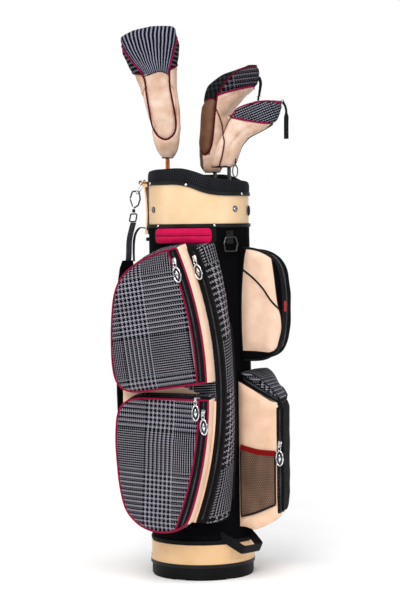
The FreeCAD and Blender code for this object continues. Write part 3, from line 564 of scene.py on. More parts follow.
class Finish:
    """A Principled material whose colour, roughness and bump are built from nodes."""

    def __init__(self, name, metallic=0.0, sheen=0.0, coat=0.0, specular=0.5):
        self.material = bpy.data.materials.new(name)
        self.material.use_nodes = True
        self.tree = self.material.node_tree
        self.shader = self.tree.nodes["Principled BSDF"]
        self.shader.inputs["Metallic"].default_value = metallic
        self.shader.inputs["Sheen Weight"].default_value = sheen
        self.shader.inputs["Sheen Roughness"].default_value = 0.4
        self.shader.inputs["Coat Weight"].default_value = coat
        self.shader.inputs["Coat Roughness"].default_value = 0.2
        self.shader.inputs["Specular IOR Level"].default_value = specular
        self.place = self.node("TexCoord").outputs["Object"]
        uv = self.node("UVMap", uv_map="cloth")
        apart = self.node("SeparateXYZ")
        self.join(uv.outputs["UV"], apart.inputs[0])
        self.across, self.along = apart.outputs[0], apart.outputs[1]

    def node(self, kind, **settings):
        made = self.tree.nodes.new("ShaderNode" + kind)
        for name, value in settings.items():
            setattr(made, name, value)
        return made

    def join(self, source, target):
        if isinstance(source, (int, float, tuple)):
            target.default_value = source
        else:
            self.tree.links.new(source, target)

    def math(self, operation, *values):
        made = self.node("Math", operation=operation)
        for socket, value in zip(made.inputs, values):
            self.join(value, socket)
        return made.outputs[0]

    def pick(self, share, first, second):
        """The number first where share is 0 and second where it is 1."""
        made = self.node("Mix", data_type="FLOAT")
        for socket, value in zip(made.inputs[:4], (share, None, first, second)):
            if value is not None:
                self.join(value, socket)
        return made.outputs[0]

    def blend(self, share, first, second):
        """A colour between two colours."""
        made = self.node("Mix", data_type="RGBA")
        self.join(share, made.inputs[0])
        self.join(first, made.inputs[6])
        self.join(second, made.inputs[7])
        return made.outputs[2]

    def cloud(self, size, detail, stretch=(1, 1, 1)):
        """Noise from 0 to 1 with features about size millimetres across."""
        spread = self.node("Mapping")
        spread.inputs["Scale"].default_value = stretch
        self.join(self.place, spread.inputs["Vector"])
        made = self.node("TexNoise")
        self.join(spread.outputs[0], made.inputs["Vector"])
        made.inputs["Scale"].default_value = 1 / (size * MM)
        made.inputs["Detail"].default_value = detail
        return made.outputs[0]

    def cells(self, size):
        """Distance to the nearest of scattered cells about size millimetres across."""
        made = self.node("TexVoronoi", feature="F1")
        self.join(self.place, made.inputs["Vector"])
        made.inputs["Scale"].default_value = 1 / (size * MM)
        return made.outputs["Distance"]

    def ramp(self, value, low, high, first=0.0, last=1.0):
        made = self.node("MapRange", clamp=True)
        for socket, number in zip(made.inputs, (value, low, high, first, last)):
            self.join(number, socket)
        return made.outputs[0]

    def threads(self, width, twill):
        """A weave of threads: (number of the warp, of the weft, 1 where warp is over, height)."""
        warp = self.math("DIVIDE", self.across, width)
        weft = self.math("DIVIDE", self.along, width)
        first, second = self.math("FLOOR", warp), self.math("FLOOR", weft)
        step = self.math("FLOORED_MODULO", self.math("ADD", first, second), float(twill))
        over = self.math("LESS_THAN", step, twill / 2)
        heights = [self.math("SINE", self.math("MULTIPLY", self.math("FRACT", value), math.pi))
                   for value in (warp, weft)]
        return first, second, over, self.pick(over, heights[1], heights[0])

    def colour(self, value):
        self.join(value, self.shader.inputs["Base Color"])
        return self

    def rough(self, value):
        self.join(value, self.shader.inputs["Roughness"])
        return self

    def bump(self, height, depth, strength):
        """Raises the surface by height times depth millimetres."""
        made = self.node("Bump")
        made.inputs["Distance"].default_value = depth * MM
        made.inputs["Strength"].default_value = strength
        self.join(height, made.inputs["Height"])
        earlier = self.shader.inputs["Normal"].links
        if earlier:
            self.join(earlier[0].from_socket, made.inputs["Normal"])
        self.join(made.outputs[0], self.shader.inputs["Normal"])
        return self


def glen_plaid(name, dark, light, kind="plaid"):
    """Wool-look glen check of thick threads in twill.

    Each way it repeats a band of bold stripes, then one of fine stripes. In checks both ways
    change together, as in houndstooth. Fine has no bold bands, and stripes show only the warp.
    """
    finish = Finish(name, specular=0.12)
    first, second, over, height = finish.threads(PLAID_THREAD, 4)
    bolds, wides, fines = [], [], []
    for thread, (bold, whole) in ((first, WARP_BANDS), (second, WEFT_BANDS)):
        spot = finish.math("FLOORED_MODULO", thread, float(whole))
        bolds.append(finish.math("LESS_THAN", spot, float(bold)))
        for stripes, (darker, repeat) in ((wides, BOLD_STRIPE), (fines, FINE_STRIPE)):
            within = finish.math("FLOORED_MODULO", spot, repeat)
            stripes.append(finish.math("LESS_THAN", within, darker))
    if kind == "checks":
        bolds[0] = bolds[1]
    if kind == "fine":
        bolds = [0.0, 0.0]
    darks = [finish.pick(bold, fine, wide) for bold, fine, wide in zip(bolds, fines, wides)]
    is_dark = wides[0] if kind == "stripes" else finish.pick(over, darks[1], darks[0])
    fuzz = finish.cloud(0.9, 4)
    patch = finish.cloud(60, 2)
    pale = finish.blend(finish.ramp(fuzz, 0.3, 0.7), light, scaled(light, 0.72))
    deep = finish.blend(finish.ramp(fuzz, 0.3, 0.7), dark, scaled(dark, 2.0))
    cloth = finish.blend(is_dark, pale, deep)
    worn = finish.blend(finish.ramp(patch, 0.3, 0.75, 0.0, 0.22), cloth, dark)
    finish.colour(worn)
    finish.rough(finish.ramp(fuzz, 0.2, 0.8, 0.78, 0.95))
    finish.bump(height, 0.35, 0.7).bump(fuzz, 0.25, 0.5)
    return finish.material


def woven(name, colour, thread, lift=1.6, sheen=0.0, roughness=0.75, specular=0.3, patchy=0.25):
    """Plain-woven cloth of one colour, its threads catching the light."""
    finish = Finish(name, sheen=sheen, specular=specular)
    height = finish.threads(thread, 2)[3]
    # The hollows between threads are painted darker and the thread crests lighter by lift: painted shade and
    # highlight on the weave.
    deep = scaled(colour, 0.6)
    body = finish.blend(finish.ramp(height, 0.1, 1.0), deep, scaled(colour, lift))
    mottled = finish.blend(finish.ramp(finish.cloud(24, 3), 0.35, 0.75, 0.0, patchy), body, deep)
    finish.colour(mottled)
    finish.rough(finish.ramp(finish.cloud(5, 3), 0.3, 0.7, roughness - 0.08, min(1.0, roughness + 0.1)))
    finish.bump(height, thread * 0.35, 0.8)
    return finish.material


def leathery(name, colour, shade, grain=1.1, roughness=0.5, coat=0.0, depth=0.16):
    """Coated cloth: a pebbled grain, soft mottling and a little soiling."""
    finish = Finish(name, coat=coat, sheen=0.05, specular=0.4)
    mottle = finish.cloud(32, 4)
    speck = finish.cloud(2.2, 4)
    pebble = finish.cells(grain)
    base = finish.blend(finish.ramp(mottle, 0.3, 0.72), colour, shade)
    base = finish.blend(finish.ramp(speck, 0.45, 0.8, 0.0, 0.25), base, shade)
    base = finish.blend(finish.ramp(pebble, 0.55, 0.95, 0.0, 0.3), base, shade)
    finish.colour(base)
    finish.rough(finish.ramp(speck, 0.25, 0.75, roughness - 0.08, roughness + 0.12))
    finish.bump(pebble, depth, 0.55).bump(mottle, 0.8, 0.35)
    return finish.material


def moulded(name, colour, shade, roughness, coat=0.0, grain=0.8, depth=0.08, specular=0.5):
    """Moulded plastic or rubber with a fine spark grain, scuffs and patches of dust."""
    finish = Finish(name, coat=coat, specular=specular)
    speck = finish.cloud(grain, 3)
    scuff = finish.cloud(6, 5, (1, 1, 6))
    dust = finish.cloud(40, 4)
    base = finish.blend(finish.ramp(dust, 0.42, 0.75), colour, shade)
    base = finish.blend(finish.ramp(scuff, 0.62, 0.8, 0.0, 0.35), base, shade)
    finish.colour(base)
    finish.rough(finish.ramp(scuff, 0.3, 0.75, roughness - 0.07, roughness + 0.2))
    finish.bump(speck, depth, 0.6)
    return finish.material


def metal(name, colour, shade, roughness, brushed=(1, 1, 1), coat=0.0):
    """Polished or plated metal with hairlines, fingermarks and dull patches."""
    finish = Finish(name, metallic=1.0, coat=coat)
    hair = finish.cloud(1.2, 3, brushed)
    dull = finish.cloud(9, 4)
    finish.colour(finish.blend(finish.ramp(dull, 0.4, 0.75), colour, shade))
    finish.rough(finish.ramp(dull, 0.3, 0.75, roughness * 0.6, roughness * 1.9))
    finish.bump(hair, 0.02, 0.4)
    return finish.material


def knitted_net(name, thread, behind, cell, hole):
    """A knitted mesh: rows of staggered round holes between threads. The holes are filled flat with the
    colour behind, painted shade in the pouch and painted highlights on the rim, and darker streaks are
    painted shade as of folds.
    """
    finish = Finish(name, specular=0.15)
    row = finish.math("DIVIDE", finish.along, cell * 0.8)
    shift = finish.math("MULTIPLY", finish.math("FLOORED_MODULO", finish.math("FLOOR", row), 2.0), 0.5)
    column = finish.math("ADD", finish.math("DIVIDE", finish.across, cell), shift)
    x = finish.math("SUBTRACT", finish.math("FRACT", column), 0.5)
    y = finish.math("SUBTRACT", finish.math("FRACT", row), 0.5)
    squares = [finish.math("MULTIPLY", value, value) for value in (x, y)]
    away = finish.math("SQRT", finish.math("ADD", *squares))
    solid = finish.ramp(away, hole - 0.06, hole + 0.06)
    # Darker streaks painted as the shade of folds in the net; the same streaks vary its roughness.
    fold_shade = finish.cloud(26, 3, (1, 1, 0.4))
    body = finish.blend(finish.ramp(fold_shade, 0.35, 0.7), thread, scaled(thread, 0.6))
    finish.colour(finish.blend(solid, behind, body))
    finish.rough(finish.ramp(fold_shade, 0.3, 0.7, 0.6, 0.8))
    finish.bump(solid, 0.35, 0.8)
    return finish.material


# Threads in millimetres, then (threads in the bold band, threads in the whole repeat), then
# (dark threads, threads) of one stripe.
PLAID_THREAD = 1.25
WARP_BANDS, WEFT_BANDS = (58, 125), (102, 170)
BOLD_STRIPE, FINE_STRIPE = (5.0, 8.0), (3.0, 4.0)
PLAID = glen_plaid("glen_plaid", linear(3, 3, 6), linear(160, 157, 170))
PLAID_CHECKS = glen_plaid("glen_plaid_gusset", linear(3, 3, 6), linear(172, 169, 180), "checks")
PLAID_CROWN = glen_plaid("glen_plaid_crown", linear(6, 6, 14), linear(150, 152, 172), "stripes")
PLAID_BARS = glen_plaid("glen_plaid_bars", linear(4, 4, 8), linear(92, 92, 106), "stripes")
PLAID_FINE = glen_plaid("glen_plaid_fine", linear(5, 5, 10), linear(156, 158, 174), "fine")
PLAID_DARK = glen_plaid("glen_plaid_shaded", linear(3, 3, 6), linear(104, 100, 112))
PLAID_BLACK = glen_plaid("glen_plaid_black", linear(7, 7, 10), linear(50, 50, 58))
BEIGE = leathery("beige_coated_cloth", linear(240, 203, 175), linear(222, 180, 149))
PEACH = leathery("peach_coated_cloth", linear(236, 204, 181), linear(219, 180, 154))
COVER = leathery("cover_soft_cloth", linear(222, 196, 178), linear(192, 152, 126), 0.9)
TAN = leathery("tan_coated_cloth", linear(196, 148, 114), linear(172, 122, 88))
COLLAR = moulded("collar_satin_plastic", linear(225, 192, 152), linear(220, 183, 138), 0.34, 0.2)
BASE_SHELL = moulded("base_satin_plastic", linear(214, 174, 128), linear(206, 162, 112), 0.34, 0.2)
BLACK_CLOTH = woven("black_woven_cloth", linear(12, 11, 14), 0.8, 1.7, 0.0, 0.9, 0.06)
BLACK_WEBBING = woven("black_webbing", linear(12, 12, 15), 1.3, 2.2, 0.0, 0.7, 0.2)
STRAP_CLOTH = woven("strap_webbing", linear(50, 56, 68), 1.4, 1.8, 0.03, 0.6)
BLACK_TAPE = woven("zip_tape", linear(11, 11, 14), 0.6, 2.0, 0.0, 0.8, 0.15)
BLACK_TRIM = moulded("black_trim", linear(9, 9, 11), linear(20, 20, 23), 0.42, specular=0.25)
BOOT = moulded("boot_plastic", linear(6, 5, 7), linear(15, 13, 16), 0.5, depth=0.14, specular=0.14)
TEETH = moulded("zip_teeth", linear(20, 20, 23), linear(70, 70, 76), 0.3, coat=0.3)
PIPING = woven("magenta_piping", linear(134, 6, 54), 0.9, 1.35, 0.0, 0.6, 0.15)
BERRY = woven("berry_piping", linear(128, 8, 62), 0.9, 1.4, 0.0, 0.6, 0.15)
MAROON = woven("maroon_piping", linear(84, 4, 26), 0.9, 1.4, 0.0, 0.6, 0.15)
PINK = woven("pink_padding", linear(210, 6, 78), 0.8, 1.12, 0.0, 0.65, 0.15, patchy=0.5)
CRIMSON = woven("crimson_binding", linear(122, 4, 8), 0.9, 1.3, 0.0, 0.6, 0.15)
RED_TAG = woven("red_tag", linear(215, 20, 30), 0.7, 1.2, 0.0, 0.6)
# The rim mesh's round holes are painted pale bluish grey: painted highlights dotted over the black mesh.
RIM_MESH = knitted_net("rim_spacer_mesh", linear(5, 6, 9), linear(54, 57, 66), 5.2, 0.22)
# The pouch net's holes are painted dark brown: painted shade over the beige cloth inside the pouch.
POUCH_NET = knitted_net("pouch_net", linear(120, 94, 78), linear(40, 27, 20), 4.6, 0.3)
DIVIDER = leathery("divider_fleece", linear(26, 26, 30), linear(44, 44, 50), 0.9, 0.9, depth=0.3)
SILVER = leathery("cooler_lining_foil", linear(150, 152, 158), linear(112, 114, 122), 2.2, 0.35, 0.3)
# The beige cloth painted lighter for the ball pockets' right walls, which face away from the lamps: painted
# light.
LIT_BEIGE = leathery("beige_cloth_painted_light", linear(250, 216, 192), linear(238, 198, 170))
BROWN = leathery("brown_coated_cloth", linear(112, 76, 52), linear(84, 52, 34))
ENAMEL = moulded("black_enamel", linear(12, 12, 14), linear(26, 26, 30), 0.2, 0.5)
CHROME = metal("chrome", linear(228, 228, 232), linear(196, 196, 202), 0.12)
GOLD = metal("gold_plate", linear(214, 168, 88), linear(170, 120, 56), 0.2)
GUNMETAL = metal("black_nickel", linear(86, 86, 92), linear(52, 52, 56), 0.22)
COPPER = metal("copper_shaft", linear(176, 96, 48), linear(128, 62, 30), 0.24, (1, 1, 0.1), 0.4)
BLACK_SHAFT = moulded("black_shaft", linear(24, 24, 27), linear(40, 40, 44), 0.22, 0.6)
HEAD = metal("club_head", linear(58, 58, 64), linear(96, 96, 102), 0.25, coat=0.5)
GRIP = moulded("grip_rubber", linear(26, 26, 28), linear(46, 46, 48), 0.75, grain=1.6, depth=0.3)
THREAD_BLACK = woven("black_thread", linear(34, 34, 38), 0.4)
THREAD_PALE = woven("pale_thread", linear(226, 206, 190), 0.4)
THREAD_PINK = woven("pink_thread", linear(245, 90, 150), 0.4)

# CAD nodes that keep their own shape, by the finish each one takes.
KEPT = {
    BOOT: ("base_boot",),
    COLLAR: ("collar_shell", "collar_handle"),
    BASE_SHELL: ("base_shell",),
    BLACK_TRIM: ("base_bead", "collar_lower_trim", "collar_upper_trim", "towel_ring_tab", "strap_swivel",
                 "tube_floor"),
    ENAMEL: ("towel_ring",),
    CHROME: ("strap_link", "upper_zip_slider", "garment_zip_slider", "lower_zip_slider",
             "side_zip_slider", "top_zip_slider"),
    GUNMETAL: ("snap_hook", "snap_gate"),
    GOLD: ("strap_anchor",),
    DIVIDER: ("divider_panels", "divider_top"),
    COPPER: ("driver_shaft",),
    BLACK_SHAFT: ("fairway_shaft", "hybrid_shaft"),
    HEAD: ("driver_head", "fairway_head", "hybrid_head"),
    GRIP: ("driver_grip", "fairway_grip", "hybrid_grip"),
}
for finish, names in KEPT.items():
    for name in names:
        NODES[name].data.materials.clear()
        NODES[name].data.materials.append(finish)


# ---------------------------------------------------------------- the tube and its base

TUBE = box("body_tube")[1].x
RIM_INSIDE = 98
RIM_HIGH, RIM_LOW = 854, 829
CURVE_START, CURVE_END = -8, 102


def rim_height(x):
    """Height of the collar's falling S-curved edge."""
    t = min(max((x - CURVE_START) / (CURVE_END - CURVE_START), 0), 1)
    fall = 2 * t * t if t < 0.5 else 1 - 2 * (1 - t) ** 2
    return RIM_HIGH - (RIM_HIGH - RIM_LOW) * fall


def round_tube(bearing, radius, height):
    """A point round the tube. Bearing 0 is -Y and 90 is +X."""
    turn = math.radians(bearing)
    return Vector((radius * math.sin(turn), -radius * math.cos(turn), height))


def outward(point):
    """The level direction away from the tube's axis."""
    return Vector((point.x, point.y, 0)).normalized()


def hug_front(point):
    """Keeps a front pocket's back on the tube's surface."""
    reach = TUBE + 0.6
    if abs(point.x) < reach and point.y > -math.sqrt(reach ** 2 - point.x ** 2):
        return Vector((point.x, -math.sqrt(reach ** 2 - point.x ** 2), point.z))
    return point


def hug_side(point):
    """Draws a side pocket's inner edge onto the tube's surface."""
    reach = TUBE + 0.6
    if abs(point.y) < reach and abs(point.x) < reach - 1:
        return Vector((math.copysign(math.sqrt(reach ** 2 - point.y ** 2), point.x), point.y, point.z))
    return point


def make_tube_cloth():
    """The tube's cloth skin, the binding at its foot, and its seams."""
    lower, upper = box("base_shell")[1].z + 1, box("body_tube")[1].z
    heights = [lower + (upper - lower) * k / 90 for k in range(91)]
    profile = [(TUBE + 0.4, height) for height in heights]
    profile += [(TUBE - 3, height) for height in heights[::-15]]

    def wave(turn, height):
        if height < lower + 8 or height > upper - 12:
            return 0
        around = Vector((math.sin(turn), math.cos(turn), height / 110)) * 110
        return 0.7 * ripple(around, 48, 5) + 0.35 * ripple(around, 17, 6)

    lathe("tube_cloth", profile, BLACK_CLOTH, slot="black_fabric", stands_for=("body_tube",), wave=wave)
    middle = box("base_shell")[1].z + 5
    binding = [(TUBE + 1.2 + 2.6 * cosine, middle + 4.6 * sine) for cosine, sine in circle(16)]
    lathe("base_binding", binding, BLACK_WEBBING, slot="black_fabric",
          wave=lambda turn, height: 0.25 * ripple((turn * 40, height, 0), 9, 2))
    rows = [[round_tube(step * 3, TUBE + 1.3, lower + rise) for step in range(121)] for rise in (14, 18)]
    stitches("base_seam_stitches", rows, THREAD_BLACK, outward)
    for side, bearing in (("left", 262), ("right", 99)):
        heights = range(int(lower) + 12, int(upper) - 3, 6)
        seam = [round_tube(bearing, TUBE + 1.0, height) for height in heights]
        cord(f"tube_seam_{side}", seam, 1.3, BLACK_WEBBING)


def make_rim_pad():
    """The padded mesh rim: a rounded roll that puckers along its seams."""
    wide = (TUBE - RIM_INSIDE) / 2 + 0.8
    tall = 18.4

    def stand(bearing):
        """How tall the roll stands: most at the front, least behind the clubs."""
        return 0.86 + 0.14 * math.cos(math.radians(bearing - VIEW_BEARING))

    steps = 150
    path = []
    for step in range(steps):
        bearing = 360 * step / steps
        point = round_tube(bearing, (TUBE + RIM_INSIDE) / 2 + 0.4, 0)
        point.z = rim_height(point.x) + tall * stand(bearing) - 0.6 + 0.6 * ripple(point, 26, 3)
        path.append(point)
    points, faces, cloth = swept(path, squarish(20, wide, tall, 3.2), True, (0, 0, 1),
                                 lambda share: (1, stand(360 * share)))
    points = [point + outward(point) * (0.7 * ripple(point, 16, 8)) for point in points]
    pad = piece("rim_padding", points, faces, RIM_MESH, slot="mesh", stands_for=("rim_pad",), cloth=cloth)
    seam = [round_tube(bearing, TUBE + 1.6, rim_height(round_tube(bearing, TUBE, 0).x) + 2.2)
            for bearing in range(0, 360, 3)]
    cord("rim_lower_piping", seam, 1.5, BLACK_TRIM, closed=True, slot="black_trim")


# ---------------------------------------------------------------- the front pockets


def softened(loop):
    """A closed outline with its slight kinks smoothed away and its real corners kept."""
    rounds = 24
    count = len(loop)
    corners = set()
    for index in range(count):
        ahead = loop[(index + 2) % count] - loop[index]
        behind = loop[index] - loop[index - 2]
        if ahead.angle(behind) > math.radians(50):
            corners.add(index)
    for _ in range(rounds):
        loop = [point if index in corners
                else point * 0.5 + (loop[index - 1] + loop[(index + 1) % count]) * 0.25
                for index, point in enumerate(loop)]
    return loop


def pocket_loops(node, levels, anchor, step):
    """A CAD pocket's outlines at several y, all with as many points. A level is (y to cut, y to place)."""
    count = None
    loops = []
    for cut, y in levels:
        loop = start_at(cut_loop([node], 1, cut), anchor)
        count = count or round(length_of(loop) / step)
        loops.append((y, softened(evenly(loop, closed=True, count=count))))
    return loops


def arc_run(radius, low, high, step=5):
    """Points along a curved edge from one height to another."""
    count = max(2, int((high - low) / step))
    return [arc_point(radius, low + (high - low) * k / count) for k in range(count + 1)]


def raised(outline, rise):
    """A pocket's back outline with its top edge standing higher, as cloth slopes up to its root."""
    count = len(outline)
    result = []
    for index, point in enumerate(outline):
        along = outline[(index + 2) % count] - outline[index - 2]
        facing = Vector((along.y, -along.x)).normalized()
        result.append(point + Vector((facing.x * 0.4, facing.y)) * rise * max(0, facing.y) ** 2)
    return result


def make_ball_pocket(name, node, edge, track, seam, plaid_lay, plaid_swell, top_zip=False):
    """A piped plaid pocket with a curved zip down its right edge and a beige side wall."""
    low, high = box(node)
    inner = edge - seam
    corner = max(cut_loop([node], 1, low.y + 1), key=lambda point: point.x - point.y)
    loops = pocket_loops(node, ((low.y + 0.5, low.y), (high.y - 0.5, high.y)), corner, 4.5)
    loops[1] = (loops[1][0], raised(loops[1][1], 11))
    seam_run = arc_run(inner, low.z - 5, high.z + 5)

    def front_zone(x, z):
        return 0 if arc_reach((x, z)) < inner else 1

    def wall_zone(x, y, z, way):
        # The right side wall takes the beige painted lighter: painted light.
        if arc_reach((x, z)) > edge - 2.5 and way.x > 0.3:
            return 2
        if top_zip and way.y > 0.6 and y < low.y + 16:
            return 1
        return 0

    made = soft_shell(name, loops, [PLAID, BLACK_TAPE, LIT_BEIGE], front_zone, wall_zone, plaid_swell,
                      slot="plaid", stands_for=(node,), seams=(seam_run,), lay=plaid_lay, bow=1.6,
                      round_edge=26, crease=0.9, flat_zones=(1,))
    rim = in_front(loops[0][1], low.y - 0.4)
    cord(f"{name}_piping", rim, 2.2, PIPING, closed=True, slot="pink")
    skin = surface(made)
    inner_path = [point for point in seam_run if inside([point], loops[0][1])[0]]
    cord(f"{name}_zip_piping", laid(skin, in_front(evenly(inner_path, 4), low.y), lift=0.5), 2.0, PIPING,
         slot="pink")
    zip_run = [point for point in arc_run(track, low.z, high.z, 2) if inside([point], loops[0][1])[0]]
    zip_run = zip_run[2:-2]
    zip_chain(f"{name}_zip_teeth", in_front(zip_run, low.y - 0.35), (0, -1, 0))
    rows = [in_front(arc_run(track + side, zip_run[0].y, zip_run[-1].y), low.y - 0.75)
            for side in (-5.2, 5.2)]
    stitches(f"{name}_zip_stitches", rows, THREAD_BLACK, (0, -1, 0))
    return skin


def make_garment_pocket():
    """The full-length pocket behind the ball pockets, with its black zip band and plaid gusset."""
    node = "garment_pocket"
    low, high = box(node)
    shallow, depth, root_y = 37, 105, -45
    loops = pocket_loops(node, ((low.y + 0.3, low.y), (low.y + shallow, low.y + shallow)), (92, low.z), 5)
    front, nearer = loops[0][1], loops[1][1]
    back = [a + (b - a) * (depth / shallow) for a, b in zip(front, nearer)]
    loops = [(low.y, front), (root_y, back)]
    band_inner, band_outer = 748, 771.5

    def front_zone(x, z):
        if arc_reach((x, z)) > band_inner:
            return 1
        if z > 560:
            return 0
        return 0 if z > 436 - 0.38 * max(0, x - 5) else 2

    def wall_zone(x, y, z, way):
        if way.x > 0.45:
            return 3
        if way.y > 0.3 and x > -75:
            return 1 if x > 0 else 0
        return 2 if way.x < -0.4 and z < 560 else (1 if way.y < -0.3 else 0)

    def wall_lay(run, y):
        """The gusset's check, stretched front to back so that it reads from the front right."""
        return ((y - low.y) * 0.45 - 6, (run - 393) * 0.78)

    made = soft_shell("garment_pocket_cloth", loops, [PLAID, BLACK_TAPE, BEIGE, PLAID_CHECKS], front_zone,
                      wall_zone, 2.0, slot="plaid", stands_for=(node,),
                      seams=(arc_run(band_inner, low.z - 5, high.z + 5),), lay=turned(4, 20, 40),
                      wall_lay=wall_lay, bow=6, crease=0.9, flat_zones=(1,), hug=hug_front, seed=4)
    chain = arc_run(GARMENT_TRACK, low.z + 8, high.z - 14, 2)
    zip_chain("garment_zip_teeth", in_front(chain, low.y - 0.35), (0, -1, 0))
    rows = [in_front(arc_run(GARMENT_TRACK + side, low.z + 8, high.z - 16), low.y - 0.75)
            for side in (-7.5, 7.5)]
    stitches("garment_zip_stitches", rows, THREAD_BLACK, (0, -1, 0))
    edge = in_front(arc_run(band_outer, low.z + 2, high.z - 12), low.y - 0.2)
    cord("garment_band_edge", edge, 1.7, BLACK_WEBBING)
    join = [Vector((60, -52, z)) for z in range(int(low.z) + 4, int(high.z) - 14, 6)]
    root = [point + Vector((0.8, 0, 0)) for point in laid(surface(made), join, (-1, 0, 0))]
    band("garment_root_binding", root, 8, 2.4, BLACK_WEBBING, (1, -0.5, 0), 0.6)


def make_front_pockets():
    """The garment pocket, the two ball pockets in front of it, and the lower one's top zip."""
    make_garment_pocket()
    make_ball_pocket("upper_pocket_cloth", "upper_ball_pocket", 747, UPPER_TRACK, 22,
                     turned(8.5, -10, 530), 7)

    def lower_swell(x, z):
        """Flatter under the top zip, so that its pull hangs clear all along its run."""
        least, most, flat_above, fade = 0.4, 5.6, 352, 45
        return least + most * min(1, max(0, (flat_above - z) / fade))

    skin = make_ball_pocket("lower_pocket_cloth", "lower_ball_pocket", 744, LOWER_TRACK, 22,
                            turned(-2.5, -58, 117), lower_swell, True)
    low, high = box("lower_ball_pocket")
    top_track = [Vector((x, low.y + 8, high.z + 0.8)) for x in range(-64, 92, 4)]
    zip_chain("top_zip_teeth", laid(skin, top_track, (0, 0, -1), lift=0.1), (0, 0, 1))


make_tube_cloth()
make_rim_pad()
make_front_pockets()


# ---------------------------------------------------------------- the side pockets

POCKET_ROOT = 112


def drawn_in(outline, share):
    """A side pocket's outline pulled toward the tube to a share of its depth."""
    return [Vector((POCKET_ROOT + (point.x - POCKET_ROOT) * share, point.y)) if point.x > POCKET_ROOT
            else point.copy() for point in outline]


def make_side_upper_pocket():
    """The upper side pocket: a pale panel edged in webbing, its zip round the outside."""
    node = "side_upper_pocket"
    low, high = box(node)
    levels = [(low.y + 0.3, low.y), (28, 28), (70, 70), (high.y - 0.3, high.y)]
    loops = pocket_loops(node, levels, (90, low.z), 5)
    edge = spline([(128, 726), (119, 690), (112.5, 613), (112, 545), (114, 493)], step=5)
    foot = [Vector((148, 492)), Vector((178, 490))]
    outer = spline([(190, 494), (203, 510), (208, 535), (206.5, 568), (199, 600), (192, 655), (186, 694),
                    (184, 706)], step=5)
    panel = edge + foot + outer

    def front_zone(x, z):
        return 0 if inside([(x, z)], panel)[0] else 1

    def wall_zone(x, y, z, way):
        return 2 if way.x > 0.2 and low.y + 4 < y < low.y + 21 else 1

    made = soft_shell("side_upper_cloth", loops, [PEACH, BLACK_CLOTH, BLACK_TAPE], front_zone, wall_zone, 7,
                      slot="beige_fabric", stands_for=(node,), seams=(panel,), bow=2.2, round_edge=24,
                      crease=1.4, seed=9, hug=hug_side)
    skin = surface(made)
    diagonal = spline([(118, 669), (140, 655), (166, 630), (186, 602), (203, 584)], step=4)
    cord("side_upper_diagonal", laid(skin, in_front(diagonal, low.y), lift=0.6), 2.0, BLACK_WEBBING)
    boundary = laid(skin, in_front(evenly(panel[3:], 4), low.y), lift=0.5)
    cord("side_upper_boundary", boundary, 1.6, BLACK_WEBBING)
    rim = [point for point in loops[0][1] if point.x > POCKET_ROOT + 4]
    rim = sorted(rim, key=lambda point: math.atan2(point.y - 595, point.x - 150))
    cord("side_upper_rim", in_front(evenly(rim, 4), low.y - 0.6), 2.6, BLACK_WEBBING)
    track = [point for point in loops[0][1] if point.x > 176 and 500 < point.y < 702]
    lie = [Vector((point.x + 2.6, low.y + 12, point.y)) for point in track]
    zip_chain("side_upper_teeth", evenly(lie, 3), (1, 0, 0))
    label = [Vector((213.4, low.y + 1, z)) for z in (580, 591, 602)]
    band("side_upper_tag", label, 9, 1.0, RED_TAG, (0.8, -0.6, 0), 0.4, slot="pink")


def make_cooler():
    """The lined cooler pocket, open under its lid, and the mesh pouch on its front."""
    node = "side_lower_pocket"
    low, high = box(node)
    outline = evenly(start_at(cut_loop([node], 1, low.y + 1.5), (90, low.z)), 5, True)
    stations = ((low.y, 1.0), (15, 0.9), (60, 0.72), (high.y, 0.45))
    loops = [(y, drawn_in(outline, share)) for y, share in stations]
    lid_line = ((118, 423), (206, 384))

    def under_lid(x, z, way):
        level = lid_line[0][1] + (x - lid_line[0][0]) / (lid_line[1][0] - lid_line[0][0]) * (
            lid_line[1][1] - lid_line[0][1])
        return way.y > 0.6 and z > level - 14 and lid_line[0][0] < x

    def front_zone(x, z):
        return 1 if x > 199.5 and z > 128 else 0

    def wall_zone(x, y, z, way):
        if under_lid(x, z, way) and low.y + 4 < y < high.y - 5:
            return None
        if way.y < -0.5:
            return 0
        return 1 if y < 60 else 2

    made = soft_shell("cooler_cloth", loops, [BEIGE, BLACK_TAPE, PLAID], front_zone, wall_zone, 5,
                      slot="beige_fabric", stands_for=(node,), bow=1.6, round_edge=18, crease=1.1, seed=12,
                      hug=hug_side)
    bag = evenly([Vector(knot) for knot in ((119, 130), (142, 115.5), (175, 133), (200, 159), (203.5, 184),
                                            (203.5, 385), (160, 404), (119, 423))], 5, True)
    lining = [(y, drawn_in(bag, share)) for y, share in
              ((low.y + 4.2, 1.0), (15, 0.9), (60, 0.72), (high.y - 5, 0.47))]

    def lining_zone(x, y, z, way):
        return None if under_lid(x, z, way) else 0

    soft_shell("cooler_lining", lining, [SILVER], lambda x, z: 0, lining_zone, -0.5, slot="black_fabric",
               bow=-0.5, crease=0.8, seed=14)
    rim = [Vector((x, y, z)) for x, y, z in (
        (118, low.y + 2, 423), (206, low.y + 2, 384), (197, 15, 388), (180, 60, 393), (154, high.y - 3, 404),
        (116, high.y - 3, 422))]
    cord("cooler_mouth_binding", evenly(rim, 5, True), 2.4, BLACK_WEBBING, closed=True)
    skin = surface(made)
    for across in (199.6, 212.6):
        edge = [Vector((across, low.y, z)) for z in range(134, 376, 6)]
        cord(f"cooler_zip_edge_{int(across)}", laid(skin, edge, lift=0.4), 1.5, BLACK_WEBBING)
    chain = laid(skin, [Vector((SIDE_TRACK, low.y, z)) for z in range(150, 372, 4)], lift=1.0)
    zip_chain("side_zip_teeth", chain, (0, -1, 0))
    seam = laid(skin, [Vector((x, low.y, 132 + 0.22 * (x - 118))) for x in range(120, 196, 5)], lift=0.3)
    stitches("cooler_front_stitches", [seam], THREAD_PALE, (0, -1, 0))
    make_mesh_pouch()
    make_lid()


